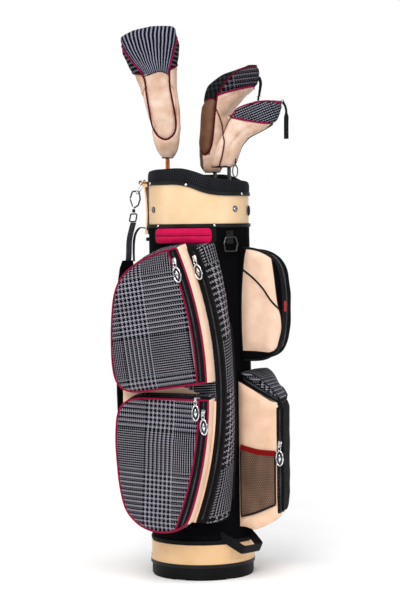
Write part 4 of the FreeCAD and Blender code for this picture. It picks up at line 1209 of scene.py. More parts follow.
def make_mesh_pouch():
    """The slack mesh pouch on the cooler's front, with its red hem and corded edges."""
    node = "mesh_pouch"
    low, high = box(node)
    outline = evenly([Vector(knot) for knot in ((112, 289), (112, 133), (150, 144), (196, 164), (196.5, 279),
                                                (160, 281))], 5, True)
    loops = [(low.y + 1.6, outline), (high.y, outline)]

    def slack(x, z):
        return 2.4 + 1.5 * math.sin((x + z) / 19) * (z - 160) / 120

    made = soft_shell("mesh_pouch_net", loops, [POUCH_NET], lambda x, z: 0, lambda x, y, z, way: 0, slack,
                      slot="mesh", stands_for=(node,), round_edge=16, crease=1.5, seed=17)
    skin = surface(made)
    hem = spline([(113, 286.5), (134, 281), (160, 276.5), (195.5, 275)], step=4)
    hem = laid(skin, in_front(hem, low.y), lift=0.4)
    band("pouch_hem", hem, 12.5, 1.6, CRIMSON, (0, -1, 0), 0.9, slot="pink")
    rows = [[point + Vector((0, -1.5, offset)) for point in hem] for offset in (-4.6, 4.6)]
    stitches("pouch_hem_stitches", rows, RED_TAG, (0, -1, 0))
    lower = laid(skin, in_front(spline([(114, 135), (150, 145.5), (194.5, 165)], step=4), low.y), lift=0.6)
    cord("pouch_lower_cord", lower, 2.1, BLACK_WEBBING)
    for name, x, first in (("inner", 113.4, 138), ("outer", 194.8, 168)):
        edge = laid(skin, [Vector((x, low.y, z)) for z in range(first, 282, 5)], lift=0.4)
        cord(f"pouch_{name}_edge", edge, 1.6, BLACK_WEBBING)


def make_lid():
    """The cooler's padded lid, plaid above a taped border."""
    node = "cooler_lid"
    low, high = box(node)
    levels = [(low.y + 0.4, low.y), (15, 15), (60, 60), (high.y - 0.4, high.y)]
    loops = pocket_loops(node, levels, (206, 387), 4)
    hem = [Vector((112, 444.5)), Vector((150, 421)), Vector((184, 401.5)), Vector((208, 396))]

    def front_zone(x, z):
        border = hem[0].y + (x - hem[0].x) * (hem[2].y - hem[0].y) / (hem[2].x - hem[0].x)
        return 0 if z > border + 2 else 1

    def wall_zone(x, y, z, way):
        return 1 if way.y < 0 or y < low.y + 5 or way.x > 0.9 else 0

    made = soft_shell("cooler_lid_cloth", loops, [PLAID, BLACK_TAPE], front_zone, wall_zone, 2.5,
                      body="cooler_lid", slot="plaid", stands_for=(node,), bow=2.5, round_edge=10, step=4,
                      crease=0.7, seed=21, wall_lay=lambda run, y: (y + 128, run + 60))
    run = [Vector((x, low.y, 436 - 0.53 * (x - 114))) for x in range(116, 204, 4)]
    zip_chain("cooler_lid_teeth", laid(surface(made), run, lift=0.2), (0, -1, 0), body="cooler_lid")


def make_strap_pocket():
    """The plain pocket on the strap's side, with a black rim and a vertical zip."""
    node = "strap_side_pocket"
    low, high = box(node)
    loops = pocket_loops(node, ((low.y + 0.5, low.y), (high.y - 0.5, high.y)), (-90, low.z), 6)

    def wall_zone(x, y, z, way):
        if way.x < -0.5 and abs(y - 18) < 9:
            return 2
        return 0 if way.x < -0.3 and abs(y - 18) < 40 else 1

    made = soft_shell("strap_pocket_cloth", loops, [BEIGE, BLACK_CLOTH, BLACK_TAPE], lambda x, z: 1,
                      wall_zone, 2, slot="beige_fabric", stands_for=(node,), bow=3.5, crease=1.0, seed=27,
                      hug=hug_side)
    rim = [point for point in loops[0][1] if point.x < -116]
    rim = sorted(rim, key=lambda point: math.atan2(point.y - 400, -point.x - 110))
    cord("strap_pocket_rim", in_front(evenly(rim, 5), low.y - 0.4), 2.2, BLACK_WEBBING)
    run = [Vector((-150, 18, z)) for z in range(230, 580, 5)]
    zip_chain("strap_pocket_teeth", laid(surface(made), run, (1, 0, 0), lift=0.3), (-1, 0, 0))


def make_tapes():
    """The tapes each zip's teeth sit on, one strip for each zip."""
    forward, upward = (0, -1, 0), (0, 0, 1)
    upper, garment, lower, side = (box(node)[0].y for node in (
        "upper_ball_pocket", "garment_pocket", "lower_ball_pocket", "side_lower_pocket"))
    top = box("lower_ball_pocket")[1].z + 0.2
    runs = [(in_front(arc_run(UPPER_TRACK, 440, 704), upper - 0.1), forward),
            (in_front(arc_run(GARMENT_TRACK, 146, 706), garment - 0.1), forward),
            (in_front(arc_run(LOWER_TRACK, 132, 388), lower - 0.1), forward),
            ([Vector((x, lower + 8.5, top)) for x in range(-64, 94, 5)], upward),
            ([Vector((SIDE_TRACK, side - 0.9, z)) for z in range(150, 372, 5)], forward)]
    strips = joined([swept(run, strip_section(13, 0.9), False, up) for run, up in runs])
    shaped("zip_tape_strips", strips, BLACK_TAPE, slot="black_fabric", stands_for=("zip_tapes",))


# ---------------------------------------------------------------- straps, handle and loop


def make_strap():
    """Webbing at both ends, a padded shoulder pad between, and the thin keeper strap above it."""
    upper = [(-147, 773.6), (-151, 762), (-158, 735), (-160, 700), (-164, 668)]
    lower = [(-164, 232), (-163, 215), (-165, 178), (-161, 150), (-148, 128), (-112, 118)]
    parts = []
    for knots, y in ((upper, -32), (lower, -52)):
        path = in_front(spline(knots, step=6), y)
        parts.append(swept(path, strip_section(24, 2.6, 0.3), False,
                           lambda point: (-1, 0, 0.35 if point.z > 500 else -0.55)))
    shaped("strap_webbing", joined(parts), STRAP_CLOTH, slot="strap", stands_for=("shoulder_strap",))
    middle = [(-158, 690), (-168, 622), (-171.3, 540), (-172, 400), (-168.5, 300), (-164.5, 213)]

    def taper(share):
        """How wide and how thick the pad is: both fade at its ends."""
        end = min(share, 1 - share) / 0.06
        return (1 if end > 1 else 0.8 + 0.2 * math.sqrt(end), 0.45 + 0.55 * min(end, 1) ** 0.5)

    path = in_front(spline(middle, step=6), -41)
    points, faces, cloth = swept(path, squarish(28, 28.5, 5.6, 3), False, (-1, 0, 0), taper)
    points = [point + Vector((0.8 * ripple(point, 40, 31), 0, 0)) for point in points]
    pad = piece("shoulder_pad", points, faces, BLACK_CLOTH, slot="black_fabric", cloth=cloth)
    for name, y in (("front", -69.8), ("back", -12.2)):
        edge = [Vector((point.x, y, point.z)) for point in path[2:-2]]
        cord(f"shoulder_pad_{name}_piping", edge, 1.6, BLACK_WEBBING)
    rows = [[point + Vector((-5.8, offset, 0)) for point in path[3:-3]] for offset in (-22, 22)]
    stitches("shoulder_pad_stitches", rows, THREAD_BLACK, (-1, 0, 0))
    keeper = [(-112, 752), (-126, 760), (-144, 762), (-155, 750), (-159.5, 733), (-160, 710), (-158, 688)]
    keeper = [Vector((x, -8 - 5 * max(0, 720 - z) / 40, z)) for x, z in keeper]
    band("keeper_strap", spline(keeper, step=4), 9, 2.0, BLACK_WEBBING, (-0.75, 0, 0.66), 0.3)
    knob = [(0.01, -4), (3.6, -4), (4.6, -2), (4.6, 2), (3.6, 4), (0.01, 4)]
    seat = round_tube(291, TUBE + 3.4, 737)
    lathe("keeper_knob", [(radius, seat.z + height) for radius, height in knob], BLACK_TRIM,
          slot="black_trim", steps=24, centre=(seat.x, seat.y))


def make_grab_handle():
    """Two padded pink rolls side by side, stitched together, with a black tab at each end."""
    low, high = box("grab_handle")
    middle = (low.z + high.z) / 2
    section = []
    for cosine, sine in circle(40):
        squeeze = 1 - 0.5 * math.exp(-(sine / 0.2) ** 2)
        section.append((5.4 * cosine * squeeze, 16.0 * sine * (0.9 + 0.1 * abs(sine))))
    path = [round_tube(bearing / 2, TUBE + 11.4, middle + 0.5 * ripple((bearing, 0, 0), 14, 2))
            for bearing in range(-45, 80, 2)]

    def ends(share):
        """The rolls narrow a little just before their ends."""
        return (0.55 + 0.45 * min(1, min(share, 1 - share) / 0.04) ** 0.5,) * 2

    points, faces, cloth = swept(path, section, False, (0, 0, 1), ends)
    points = [point + outward(point) * (0.8 * ripple(point, 12, 41) + 0.5 * ripple(point, 5, 43))
              for point in points]
    grip = piece("grab_handle_rolls", points, faces, PINK, slot="pink", stands_for=("grab_handle",),
                 cloth=cloth)
    # A thin crimson cord laid along the groove between the rolls: painted shade in the groove.
    groove = [round_tube(bearing / 2, TUBE + 14.4, middle) for bearing in range(-43, 77, 2)]
    cord("grab_handle_groove_shade", groove, 0.8, CRIMSON, slot="pink")
    rows = [[round_tube(bearing / 2, TUBE + 15.8, middle + offset) for bearing in range(-42, 77, 2)]
            for offset in (-2.6, 2.6)]
    stitches("grab_handle_stitches", rows, THREAD_PINK, outward)
    sewn, lifted, steps = TUBE + 4.5, 6.5, 6
    for name, first, last, rises in (("left", -28, -21, True), ("right", 37, 45, False)):
        tab = []
        for k in range(steps + 1):
            share = k / steps if rises else 1 - k / steps
            tab.append(round_tube(first + (last - first) * k / steps, sewn + lifted * share, middle))
        band(f"grab_handle_tab_{name}", tab, 31, 3.2, BLACK_WEBBING, outward, 0.8)


def make_lift_loop():
    """A stiff webbing loop standing out over the base, and the bands that join its ends to the tube."""
    reach, wide, sewn = 38.7, 28.8, 38.7
    place = (Matrix.Rotation(math.radians(72), 4, "Z") @ Matrix.Translation((0, -116, 87))
             @ Matrix.Rotation(math.radians(28), 4, "X"))
    path = [place @ Vector((x, y, 0)) for x, y in ((-sewn, 0), (-wide, -reach), (wide, -reach), (sewn, 0))]
    middle = sum(path, Vector((0, 0, 0))) / 4
    bend = 5
    rounded = [path[0]]
    for before, point, after in zip(path, path[1:], path[2:]):
        for t in (0, 0.5, 1):
            start = point.lerp(before, bend / (before - point).length)
            end = point.lerp(after, bend / (after - point).length)
            rounded.append(((1 - t) ** 2) * start + 2 * t * (1 - t) * point + t * t * end)
    rounded.append(path[3])
    width = place.to_3x3() @ Vector((0, 0, 1))

    def up(point):
        """Away from the loop's middle, in the loop's own plane."""
        return (point - middle) - width * (point - middle).dot(width)

    path = evenly(rounded, 4)
    band("lift_loop_webbing", path, 22, 2.4, BLACK_WEBBING, up, 0.3, "lift_loop", stands_for=("lift_loop",))
    rows = [[point + width * offset + up(point).normalized() * 1.6 for point in path[3:-3]]
            for offset in (-8, 8)]
    stitches("lift_loop_stitches", rows, THREAD_BLACK, up, "lift_loop")
    for name, side in (("front", -1), ("back", 1)):
        root = [place @ Vector((side * (sewn + 6.1 * k / 4), -3.5 + 27.5 * k / 4, 0)) for k in range(5)]
        band(f"lift_loop_root_{name}", root, 19, 3.2, BLACK_WEBBING, up, 0.3)


make_side_upper_pocket()
make_cooler()
make_strap_pocket()
make_tapes()
make_strap()
make_grab_handle()
make_lift_loop()


# ---------------------------------------------------------------- the headcovers


def at_club(club, x, y, z):
    """A point given across, behind and above a club, in the CAD frame."""
    return CLUBS[club] + CLUB_FACING @ Vector((x, y, z))


def cover_rings(club, low, high, step):
    """The cover's cross-sections: (z, left, right, front, back) at steps of height."""
    turn_back = Matrix.Rotation(-CLUB_TURN, 4, "Z")
    starts, ends = [], []
    for node in (f"{club}_cover", f"{club}_cover_neck"):
        mesh = NODES[node].data
        spots = [turn_back @ (vertex.co / MM - CLUBS[club]) for vertex in mesh.vertices]
        starts += [spots[edge.vertices[0]] for edge in mesh.edges]
        ends += [spots[edge.vertices[1]] for edge in mesh.edges]
    starts, ends = np.array(starts), np.array(ends)
    levels = []
    count = round((high - low) / step)
    for index in range(count + 1):
        z = min(max(low + (high - low) * index / count, low + 0.8), high - 0.8)
        crossing = (starts[:, 2] > z) != (ends[:, 2] > z)
        if crossing.sum() < 3:
            continue
        first, last = starts[crossing], ends[crossing]
        share = (z - first[:, 2]) / (last[:, 2] - first[:, 2])
        spots = first[:, :2] + share[:, None] * (last[:, :2] - first[:, :2])
        (left, front), (right, back) = spots.min(0), spots.max(0)
        levels.append([z, float(left), float(right), float(front), float(back)])
    smooth = []
    for index, level in enumerate(levels):
        near = levels[max(0, index - 1):index + 2]
        smooth.append([level[0]] + [sum(item[k] for item in near) / len(near) for k in range(1, 5)])
    return smooth


def make_cover(club, finishes, zone, lay, creases):
    """A stuffed headcover, skinned ring by ring inside its CAD outline, with sewn creases."""
    low = box(f"{club}_cover_neck")[0].z
    high = box(f"{club}_cover")[1].z
    sides = 84
    rings = cover_rings(club, low, high, 3.0)
    points, faces, zones, cloth, flat = [], [], [], [], []
    middles = (rings[0][1:], rings[-1][1:])
    tuck_depth = 10
    capped = [(rings[0][0] + 3, 0.6, middles[0])]
    for ring in rings:
        tuck = max(0, 1 - (ring[0] - rings[0][0]) / tuck_depth)
        capped.append((ring[0], 1 - 0.2 * tuck ** 2, ring[1:]))
    capped += [(rings[-1][0] + rise, share, middles[1])
               for rise, share in ((0.9 * 1, 0.86), (0.9 * 1.6, 0.6), (0.9 * 2, 0.25))]
    for z, share, (left, right, front, back) in capped:
        x_mid, y_mid = (left + right) / 2, (front + back) / 2
        half_deep, half_wide = (back - front) / 2 * share, (right - left) / 2 * share
        for deep, wide in squarish(sides, half_deep, half_wide, COVER_SQUARE):
            flat.append(Vector((x_mid + wide, y_mid - deep, z)))
    pressed = np.zeros(len(flat))
    for depth, width, run in creases:
        gap = distance([(point.x, point.z) for point in flat], [spline(run, step=6)])
        pressed += depth * np.exp(-(gap / width) ** 2)
    for point, dent in zip(flat, pressed):
        out = Vector((point.x, point.y, 0)).normalized()
        puffy = 1.4 * ripple(point, 40, 51) + 1.1 * ripple(point, 16, 52) - 2.4 * dent
        points.append(at_club(club, *(point + out * min(puffy, 1.2))))
    for level in range(len(capped) - 1):
        for index in range(sides):
            right = (index + 1) % sides
            corners = (level * sides + index, level * sides + right, (level + 1) * sides + right,
                       (level + 1) * sides + index)
            faces.append(corners)
            centre = sum((flat[corner] for corner in corners), Vector((0, 0, 0))) / 4
            _, _, front, back = capped[level][2]
            zones.append(zone(centre.x, centre.z, centre.y < (front + back) / 2))
            cloth += [lay(flat[corner].x, flat[corner].z, zones[-1]) for corner in corners]
    for cap in (range(sides)[::-1], range(len(flat) - sides, len(flat))):
        faces.append(tuple(cap))
        zones.append(zones[0] if cap[0] < sides else zones[-1])
        cloth += [lay(flat[index].x, flat[index].z, zones[-1]) for index in cap]
    made = piece(f"{club}_headcover", points, faces, finishes, f"{club}_cover", "plaid",
                 (f"{club}_cover", f"{club}_cover_neck"), cloth, zones)
    return made


def cover_cord(made, club, name, run, finish, radius=2.1, lift=1.0, back=False):
    """Piping following a seam on a cover's front, or on its back."""
    way = CLUB_FACING @ Vector((0, -1 if back else 1, 0))
    path = [at_club(club, x, 0, z) for x, z in spline(run, step=3)]
    path = laid(surface(made), path, way, lift)
    if len(path) > 2:
        cord(f"{club}_{name}{'_back' if back else ''}", path, radius, finish, f"{club}_cover", slot="pink")


def line_at(run, height):
    """How far across a seam of (x, z) points is at a height."""
    run = sorted((z, x) for x, z in run)
    return float(np.interp(height, [z for z, x in run], [x for z, x in run]))


def height_at(run, across):
    """How high a seam of (x, z) points is at a place across."""
    run = sorted(run)
    return float(np.interp(across, [x for x, z in run], [z for x, z in run]))


def make_hem(club, finish):
    """The bound elastic edge round a cover's mouth."""
    low = box(f"{club}_cover_neck")[0].z
    _, left, right, front, back = cover_rings(club, low, low + 4, 4)[0]
    tight = 0.78
    mouth = squarish(60, (back - front) / 2 * tight, (right - left) / 2 * tight, COVER_SQUARE)
    path = [at_club(club, (left + right) / 2 + wide, (front + back) / 2 - deep,
                    low + 2.2 + 0.5 * ripple((index * 3, 0, 0), 12, 3))
            for index, (deep, wide) in enumerate(mouth)]
    cord(f"{club}_hem", path, 1.7, finish, f"{club}_cover", True)


# Seams of the covers, as (across, height) points on each one's front.
DRIVER_CROWN_LEFT = [(-106, 1183), (-102.9, 1174.6), (-91.6, 1150.5), (-75.5, 1126.4), (-61.4, 1111),
                     (-51.3, 1095.7)]
DRIVER_CROWN_RIGHT = [(26.8, 1200), (25.8, 1192.2), (22.7, 1168), (15.7, 1139.5), (7, 1108.8), (4.6, 1095.7)]
DRIVER_LOWER_LEFT = [(-81.4, 1108.8), (-72.5, 1101.2), (-53.7, 1096.8)]
DRIVER_LOWER_RIGHT = [(6.5, 1106), (20.8, 1114.3), (30, 1128)]
DRIVER_U = [(-54.3, 1099), (-47.5, 1084.7), (-43.6, 1051.8), (-38.5, 1018.9), (-32.4, 986.1), (-23.8, 968.5),
            (-15.2, 959.8), (-3, 955.4), (8.9, 960.8), (17.4, 972.9), (19.7, 992.6), (16.3, 1018.9),
            (11.2, 1047.5), (7.2, 1073.8), (6.9, 1106.7)]
DRIVER_TOP = [(-51, 1092), (-35.3, 1096.5), (-17.7, 1102.3), (-4.6, 1100.5), (5.5, 1096)]
DRIVER_ARCS = ([(-46.7, 1067.2), (-51.8, 1060.6), (-51.8, 1040.9), (-43.1, 1001.4), (-34.7, 979.5)],
               [(10.4, 1073.8), (14.7, 1067.2), (18.9, 1049.6), (20.7, 1018.9), (21.4, 992.6)])


def make_driver_cover():
    """The driver's cover: a striped crown between two side panels, over a plain U-shaped front."""
    def zone(x, z, front):
        crown = line_at(DRIVER_CROWN_LEFT, z) < x < line_at(DRIVER_CROWN_RIGHT, z)
        if z > 1096 and crown and z > height_at(DRIVER_TOP, x):
            return 0
        if x <= line_at(DRIVER_CROWN_LEFT, z) and z > height_at(DRIVER_LOWER_LEFT, x):
            return 1
        if x >= line_at(DRIVER_CROWN_RIGHT, z) and z > height_at(DRIVER_LOWER_RIGHT, x):
            return 1
        return 2 if front else (0 if z > 1104 else 2)

    def lay(x, z, panel):
        if panel == 1:
            return (z + 0.25 * abs(x), x)
        left, right = line_at(DRIVER_CROWN_LEFT, z), line_at(DRIVER_CROWN_RIGHT, z)
        return (78.5 + 76 * (2 * x - left - right) / (right - left), z - 1040)

    creases = [(1.6, 3.5, DRIVER_U), (0.9, 3, DRIVER_ARCS[0]), (0.9, 3, DRIVER_ARCS[1]),
               (1.3, 3.5, DRIVER_CROWN_LEFT), (1.3, 3.5, DRIVER_CROWN_RIGHT)]
    made = make_cover("driver", [PLAID_CROWN, PLAID_BARS, COVER], zone, lay, creases)
    for name, run, finish in (("crown_left", DRIVER_CROWN_LEFT, BERRY),
                              ("crown_right", DRIVER_CROWN_RIGHT, BERRY),
                              ("lower_left", DRIVER_LOWER_LEFT, MAROON), ("panel", DRIVER_U, MAROON),
                              ("lower_right", DRIVER_LOWER_RIGHT, MAROON)):
        cover_cord(made, "driver", name, run, finish)
    cover_cord(made, "driver", "panel_top", DRIVER_TOP, BLACK_WEBBING, 0.9)
    for side, run in zip(("left", "right"), DRIVER_ARCS):
        cover_cord(made, "driver", f"arc_{side}", run, TAN, 1.1, 0.1)
    cover_cord(made, "driver", "crown", [(-84, 1104), (-30, 1106), (28, 1110)], MAROON, back=True)
    make_hem("driver", BLACK_WEBBING)


FAIRWAY_CENTRE = [(97, 1115.8), (71.6, 1110.9), (51.6, 1104.2), (29.3, 1084.4), (9.1, 1055.7), (3.7, 1031.5),
                  (-0.5, 996.2), (-4.5, 958.7), (-10.1, 934.4), (-21.4, 921.2)]
FAIRWAY_NOSE = [(9.1, 1052.2), (31.2, 1059), (57.3, 1065), (79.9, 1070.1), (95, 1071.6)]
FAIRWAY_WINDOW = [(-30, 932.2), (-25.7, 924.5), (-21.4, 921.2)]
FAIRWAY_SILL = [(-40, 1020), (-30, 1032), (-23.1, 1038.1), (-17.5, 1043.6), (-8.7, 1045.1),
                (-1, 1043.6), (4.4, 1038.1)]
FAIRWAY_ARC = [(3.6, 1022.6), (14.3, 996.2), (18.6, 971.9), (17, 930), (13, 890)]


def make_fairway_cover():
    """The fairway's cover: a plaid nose, a dark top left, a brown side and a plain front."""
    def zone(x, z, front):
        if not front:
            return 1 if z > 1058 else 3
        if x > line_at(FAIRWAY_CENTRE[:-1], z) or (z < 921 and x > -26):
            return 0 if z > height_at(FAIRWAY_NOSE, x) and z > 1052 else 3
        if z > height_at(FAIRWAY_SILL, x):
            return 1
        return 2

    def lay(x, z, panel):
        turn = math.radians(8)
        return (x * math.cos(turn) + z * math.sin(turn) + 30, z * math.cos(turn) - x * math.sin(turn) + 14)

    creases = [(1.6, 3.5, FAIRWAY_CENTRE), (1.2, 3.5, FAIRWAY_NOSE), (1.4, 3.5, FAIRWAY_SILL),
               (1.3, 4, [(26, 1008), (35, 1016), (48.5, 1033.7), (73, 1053.5)]), (1.2, 4, FAIRWAY_ARC),
               (1.2, 5, [(8, 1046), (16, 1020), (24, 1004)]), (0.9, 4, [(28, 1044), (40, 1052), (58, 1056)])]
    made = make_cover("fairway", [PLAID_DARK, PLAID_BLACK, BROWN, COVER], zone, lay, creases)
    cover_cord(made, "fairway", "centre_piping", FAIRWAY_CENTRE, MAROON)
    cover_cord(made, "fairway", "nose_piping", FAIRWAY_NOSE, BERRY)
    cover_cord(made, "fairway", "sill_piping", FAIRWAY_SILL, MAROON, 1.4)
    cover_cord(made, "fairway", "window_piping", FAIRWAY_WINDOW, MAROON, 1.4)
    cover_cord(made, "fairway", "side_seam", FAIRWAY_ARC, MAROON, 1.3)
    cover_cord(made, "fairway", "crown", [(-20, 1058), (30, 1060), (92, 1068)], MAROON, back=True)
    make_hem("fairway", BLACK_WEBBING)


HYBRID_UPPER = [(6.7, 1000.6), (16.7, 1015.8), (33.9, 1024.4), (60.1, 1030.9), (87.9, 1033.5), (119, 1027)]
HYBRID_LOWER = [(6.7, 999.3), (31.5, 993), (60.2, 987.6), (81.2, 985.5), (103.3, 985)]
HYBRID_SEAM = [(6.7, 1000.6), (-12.1, 970.3), (-10.2, 946.5), (-14.3, 919.4), (-22.7, 890.2)]


def make_hybrid_cover():
    """The hybrid's cover: a two-part plaid nose over a plain body with a corded right edge."""
    def zone(x, z, front):
        if z > height_at(HYBRID_LOWER, x) and x > 6.7:
            return 1 if front and z > height_at(HYBRID_UPPER, x) + 2 else 0
        return 2

    tilted = turned(22)

    def lay(x, z, panel):
        return tilted(x, z)

    creases = [(1.5, 3.5, HYBRID_UPPER), (1.5, 3.5, HYBRID_LOWER), (1.1, 3.5, HYBRID_SEAM),
               (1.3, 4, [(18, 954), (24.6, 961.6), (39.9, 972.5), (63.8, 979), (89.8, 981.1)]),
               (1.3, 4, [(-8.8, 892.4), (0.4, 929.2), (20.2, 957.3)]),
               (0.9, 4, [(-2, 965), (10, 980), (30, 986)])]
    made = make_cover("hybrid", [PLAID_FINE, PLAID_DARK, COVER], zone, lay, creases)
    for name, run in (("upper_piping", HYBRID_UPPER), ("lower_piping", HYBRID_LOWER)):
        cover_cord(made, "hybrid", name, run, BERRY)
    cover_cord(made, "hybrid", "side_seam", HYBRID_SEAM, MAROON, 1.5)
    edging = [at_club("hybrid", right - 0.8, (front + back) / 2, z)
              for z, _, right, front, back in cover_rings("hybrid", 893, 986, 3)]
    cord("hybrid_right_edging", spline(edging, step=3), 2.4, BLACK_WEBBING, "hybrid_cover")
    cover_cord(made, "hybrid", "crown", [(8, 1000), (55, 990), (102, 986)], MAROON, back=True)
    make_hem("hybrid", BLACK_WEBBING)


make_driver_cover()
make_fairway_cover()
make_hybrid_cover()


# ---------------------------------------------------------------- zip pulls, tags and small fittings


def make_pull(name, pivot, forward):
    """A chrome oval pull: a wire ring on a link, a dark inlay and a plain lozenge standing on it."""
    node = f"{name}_zip_pull"
    mesh = NODES[node].data
    centre = sum((vertex.co / MM for vertex in mesh.vertices), Vector((0, 0, 0))) / len(mesh.vertices)
    pivot = Vector(pivot)
    down = Vector((centre.x - pivot.x, 0, centre.z - pivot.z)).normalized()
    side = down.cross(Vector((0, 1, 0)))
    hang, facing = 30.5, (0, -1, 0)
    middle = pivot + down * hang - Vector((0, forward, 0))

    def at(x, fall, out):
        return middle + side * x + down * fall + Vector((0, -out, 0))

    def wire(radius, count, wide, tall, fall, out):
        """An oval of wire, its middle at a fall below the pull's own."""
        oval = [at(wide * sine, fall - tall * cosine, out) for cosine, sine in circle(count)]
        return swept(oval, round_section(radius), True, facing)

    rings = joined([wire(1.55, 40, 8.0, 15.8, 0, 0), wire(1.05, 20, 3.1, 5.5, -21.5, 0),
                    wire(0.95, 20, 2.3, 3.9, -27.7, 0.3)])
    shaped(f"{name}_pull_ring", rings, CHROME, f"{name}_pull", "chrome", (node,))
    inlay = ((1, -0.8), (1, 0.2), (0.6, 0.45), (0.1, 0.5))
    shaped(f"{name}_pull_inlay", domed(middle, facing, inlay, 7.2, 14.8, down), ENAMEL, f"{name}_pull",
           "black_trim")
    lozenge = [at(x, fall, out) for out, scale in ((0.4, 1.0), (1.5, 0.7)) for x, fall in
               ((0, -9 * scale), (4.2 * scale, 0), (0, 9 * scale), (-4.2 * scale, 0))]
    faces = [(k, (k + 1) % 4, (k + 1) % 4 + 4, k + 4) for k in range(4)] + [(4, 5, 6, 7), (3, 2, 1, 0)]
    piece(f"{name}_pull_lozenge", lozenge, faces, CHROME, f"{name}_pull", "chrome")


def club_ring(centre, wide, tall, count, radius):
    """A wire ring that hangs facing the camera, wide and tall from its centre."""
    across = CLUB_FACING @ Vector((1, 0, 0))
    ring = [centre + across * wide * sine + Vector((0, 0, tall * cosine)) for cosine, sine in circle(count)]
    return swept(ring, round_section(radius), True, CLUB_FACING @ Vector((0, -1, 0)))


FAIRWAY_TAG = ((99.5, 1093), (103.5, 1080), (101.5, 1062), (97.5, 1041))
HYBRID_TAG = ((108, 1030), (118, 1032), (124.8, 1020), (126, 1006), (125.6, 978), (125.5, 952))


def tapering(share):
    """The fairway's tag narrows all the way down."""
    return (1, 1.5 - 0.6 * share)


def pendant(share):
    """The hybrid's tag is a narrow loop with a broad pendant below it."""
    return (1, 1.0 + 1.0 * min(1, max(0, share - 0.4) / 0.1))


def make_tags():
    """The two webbing tags that hang from the noses of the fairway and hybrid covers."""
    section = [(1.55 * cosine, 2.6 * sine) for cosine, sine in circle(14)]
    across = CLUB_FACING @ Vector((1, 0, 0))
    for club, knots, grow, rings in (
            ("fairway", FAIRWAY_TAG, tapering, ((0.1, 0.9), (0.85, 0.9))),
            ("hybrid", HYBRID_TAG, pendant, ((0.12, 1.0), (0.9, 0.9)))):
        body = f"{club}_tag"
        path = [at_club(club, x, 0, z) for x, z in spline(knots, step=2.5)]
        shaped(f"{club}_tag_webbing", swept(path, section, False, across, grow), BLACK_WEBBING, body,
               "black_fabric", (body,))
        for number, (share, size) in enumerate(rings):
            centre = path[int(share * (len(path) - 1))]
            shaped(f"{club}_tag_ring_{number}", club_ring(centre, 3.4 * size, 4.6 * size, 24, 0.8),
                   CHROME if number else GUNMETAL, body, "chrome")


def make_studs():
    """Small domed rivets in the two trims and four large slotted screws in the collar."""
    trim = box("collar_upper_trim")[1].x - 0.2
    seat_height = box("collar_lower_trim")[0].z + 4
    shell = box("collar_shell")[1].x - 0.2
    rivets, rims, hearts, slot_shades = [], [], [], []
    for bearing in (-43, 13, 83, 140, 215):
        spot = round_tube(bearing, trim, 0)
        rivets.append(spot + Vector((0, 0, rim_height(spot.x) + 4)))
    rivets += [round_tube(bearing, trim, seat_height) for bearing in (-25, 44, 118, 205)]
    heads = [round_tube(bearing, shell, 801) for bearing in (-36.5, 72.3, 145, 222)]
    small = ((3.0, 0), (2.9, 0.9), (2.1, 1.8), (0.8, 2.2))
    ring = ((6.8, 0), (6.8, 1.4), (5.9, 2.4), (4.6, 1.5))
    for spot in heads:
        out = outward(spot)
        across = Vector((0, 0, 1)).cross(out)
        rims.append(domed(spot, out, ring))
        hearts.append(domed(spot, out, ((4.7, 1.2), (4.5, 1.9), (2.4, 2.5), (0.5, 2.6))))
        # Each screw's slot is a thin black strip laid across the chrome head: painted shade standing for the
        # slot's groove.
        slot = [spot + out * 2.65 + across * side + Vector((0, 0, 0.5 * side)) for side in (-3.2, 0, 3.2)]
        slot_shades.append(swept(slot, strip_section(1.1, 0.5), False, out))
    for name, parts, finish in (("rivets", [domed(spot, outward(spot), small) for spot in rivets], CHROME),
                                ("screw_rims", rims, ENAMEL), ("screw_heads", hearts, CHROME),
                                ("screw_slot_shades", slot_shades, ENAMEL)):
        shaped(f"collar_{name}", joined(parts), finish, slot="chrome",
               stands_for=("collar_fasteners",) if name == "rivets" else ())


def make_collar_details():
    """Moulded extras: a black half-round boss at the collar's right and a clip by the hybrid's shaft."""
    seat = round_tube(101, TUBE + 1.5, 797)
    profile = ((1, 0), (0.96, 2), (0.75, 3.6), (0.3, 4.2))
    shaped("collar_boss", domed(seat, outward(seat), profile, 6.5, 11.5), BLACK_TRIM, slot="black_trim")
    hang = at_club("hybrid", 13, -16, 883)
    shaped("towel_clip", club_ring(hang, 5.4, 13, 36, 1.3), GUNMETAL, slot="chrome")
    knots = [hang + Vector((0, 0, 13)), hang + Vector((1, 1, 24)), at_club("hybrid", 14, -6, 916)]
    cord("towel_clip_cord", spline(knots, step=3), 1.2, BLACK_WEBBING)


# Each pull's hinge, and how far further forward than its hinge it hangs.
PULLS = {"upper": ((41.25, -200.4, 693), 0), "garment": ((67.7, -158.4, 697), 0),
         "lower": ((98.1, -187.4, 374), 0), "side": ((SIDE_TRACK, -38.4, 296), 0),
         "top": ((80, -182, 402.8), 2.8)}
for name, (pivot, forward) in PULLS.items():
    make_pull(name, pivot, forward)
make_tags()
make_studs()
make_collar_details()


# ---------------------------------------------------------------- floor, light and camera


def make_floor():
    """A wide pale floor with a soft, faintly uneven sheet finish."""
    mesh = bpy.data.meshes.new("floor")
    half = 2.2
    corners = [(-half, -half, 0), (half, -half, 0), (half, half, 0), (-half, half, 0)]
    mesh.from_pydata(corners, [], [(0, 1, 2, 3)])
    finish = Finish("floor_paper", specular=0.2)
    tint = finish.ramp(finish.cloud(300, 2), 0.3, 0.7)
    finish.colour(finish.blend(tint, linear(244, 244, 245), linear(250, 250, 250))).rough(0.9)
    mesh.materials.append(finish.material)
    floor = bpy.data.objects.new("floor", mesh)
    bpy.context.scene.collection.objects.link(floor)


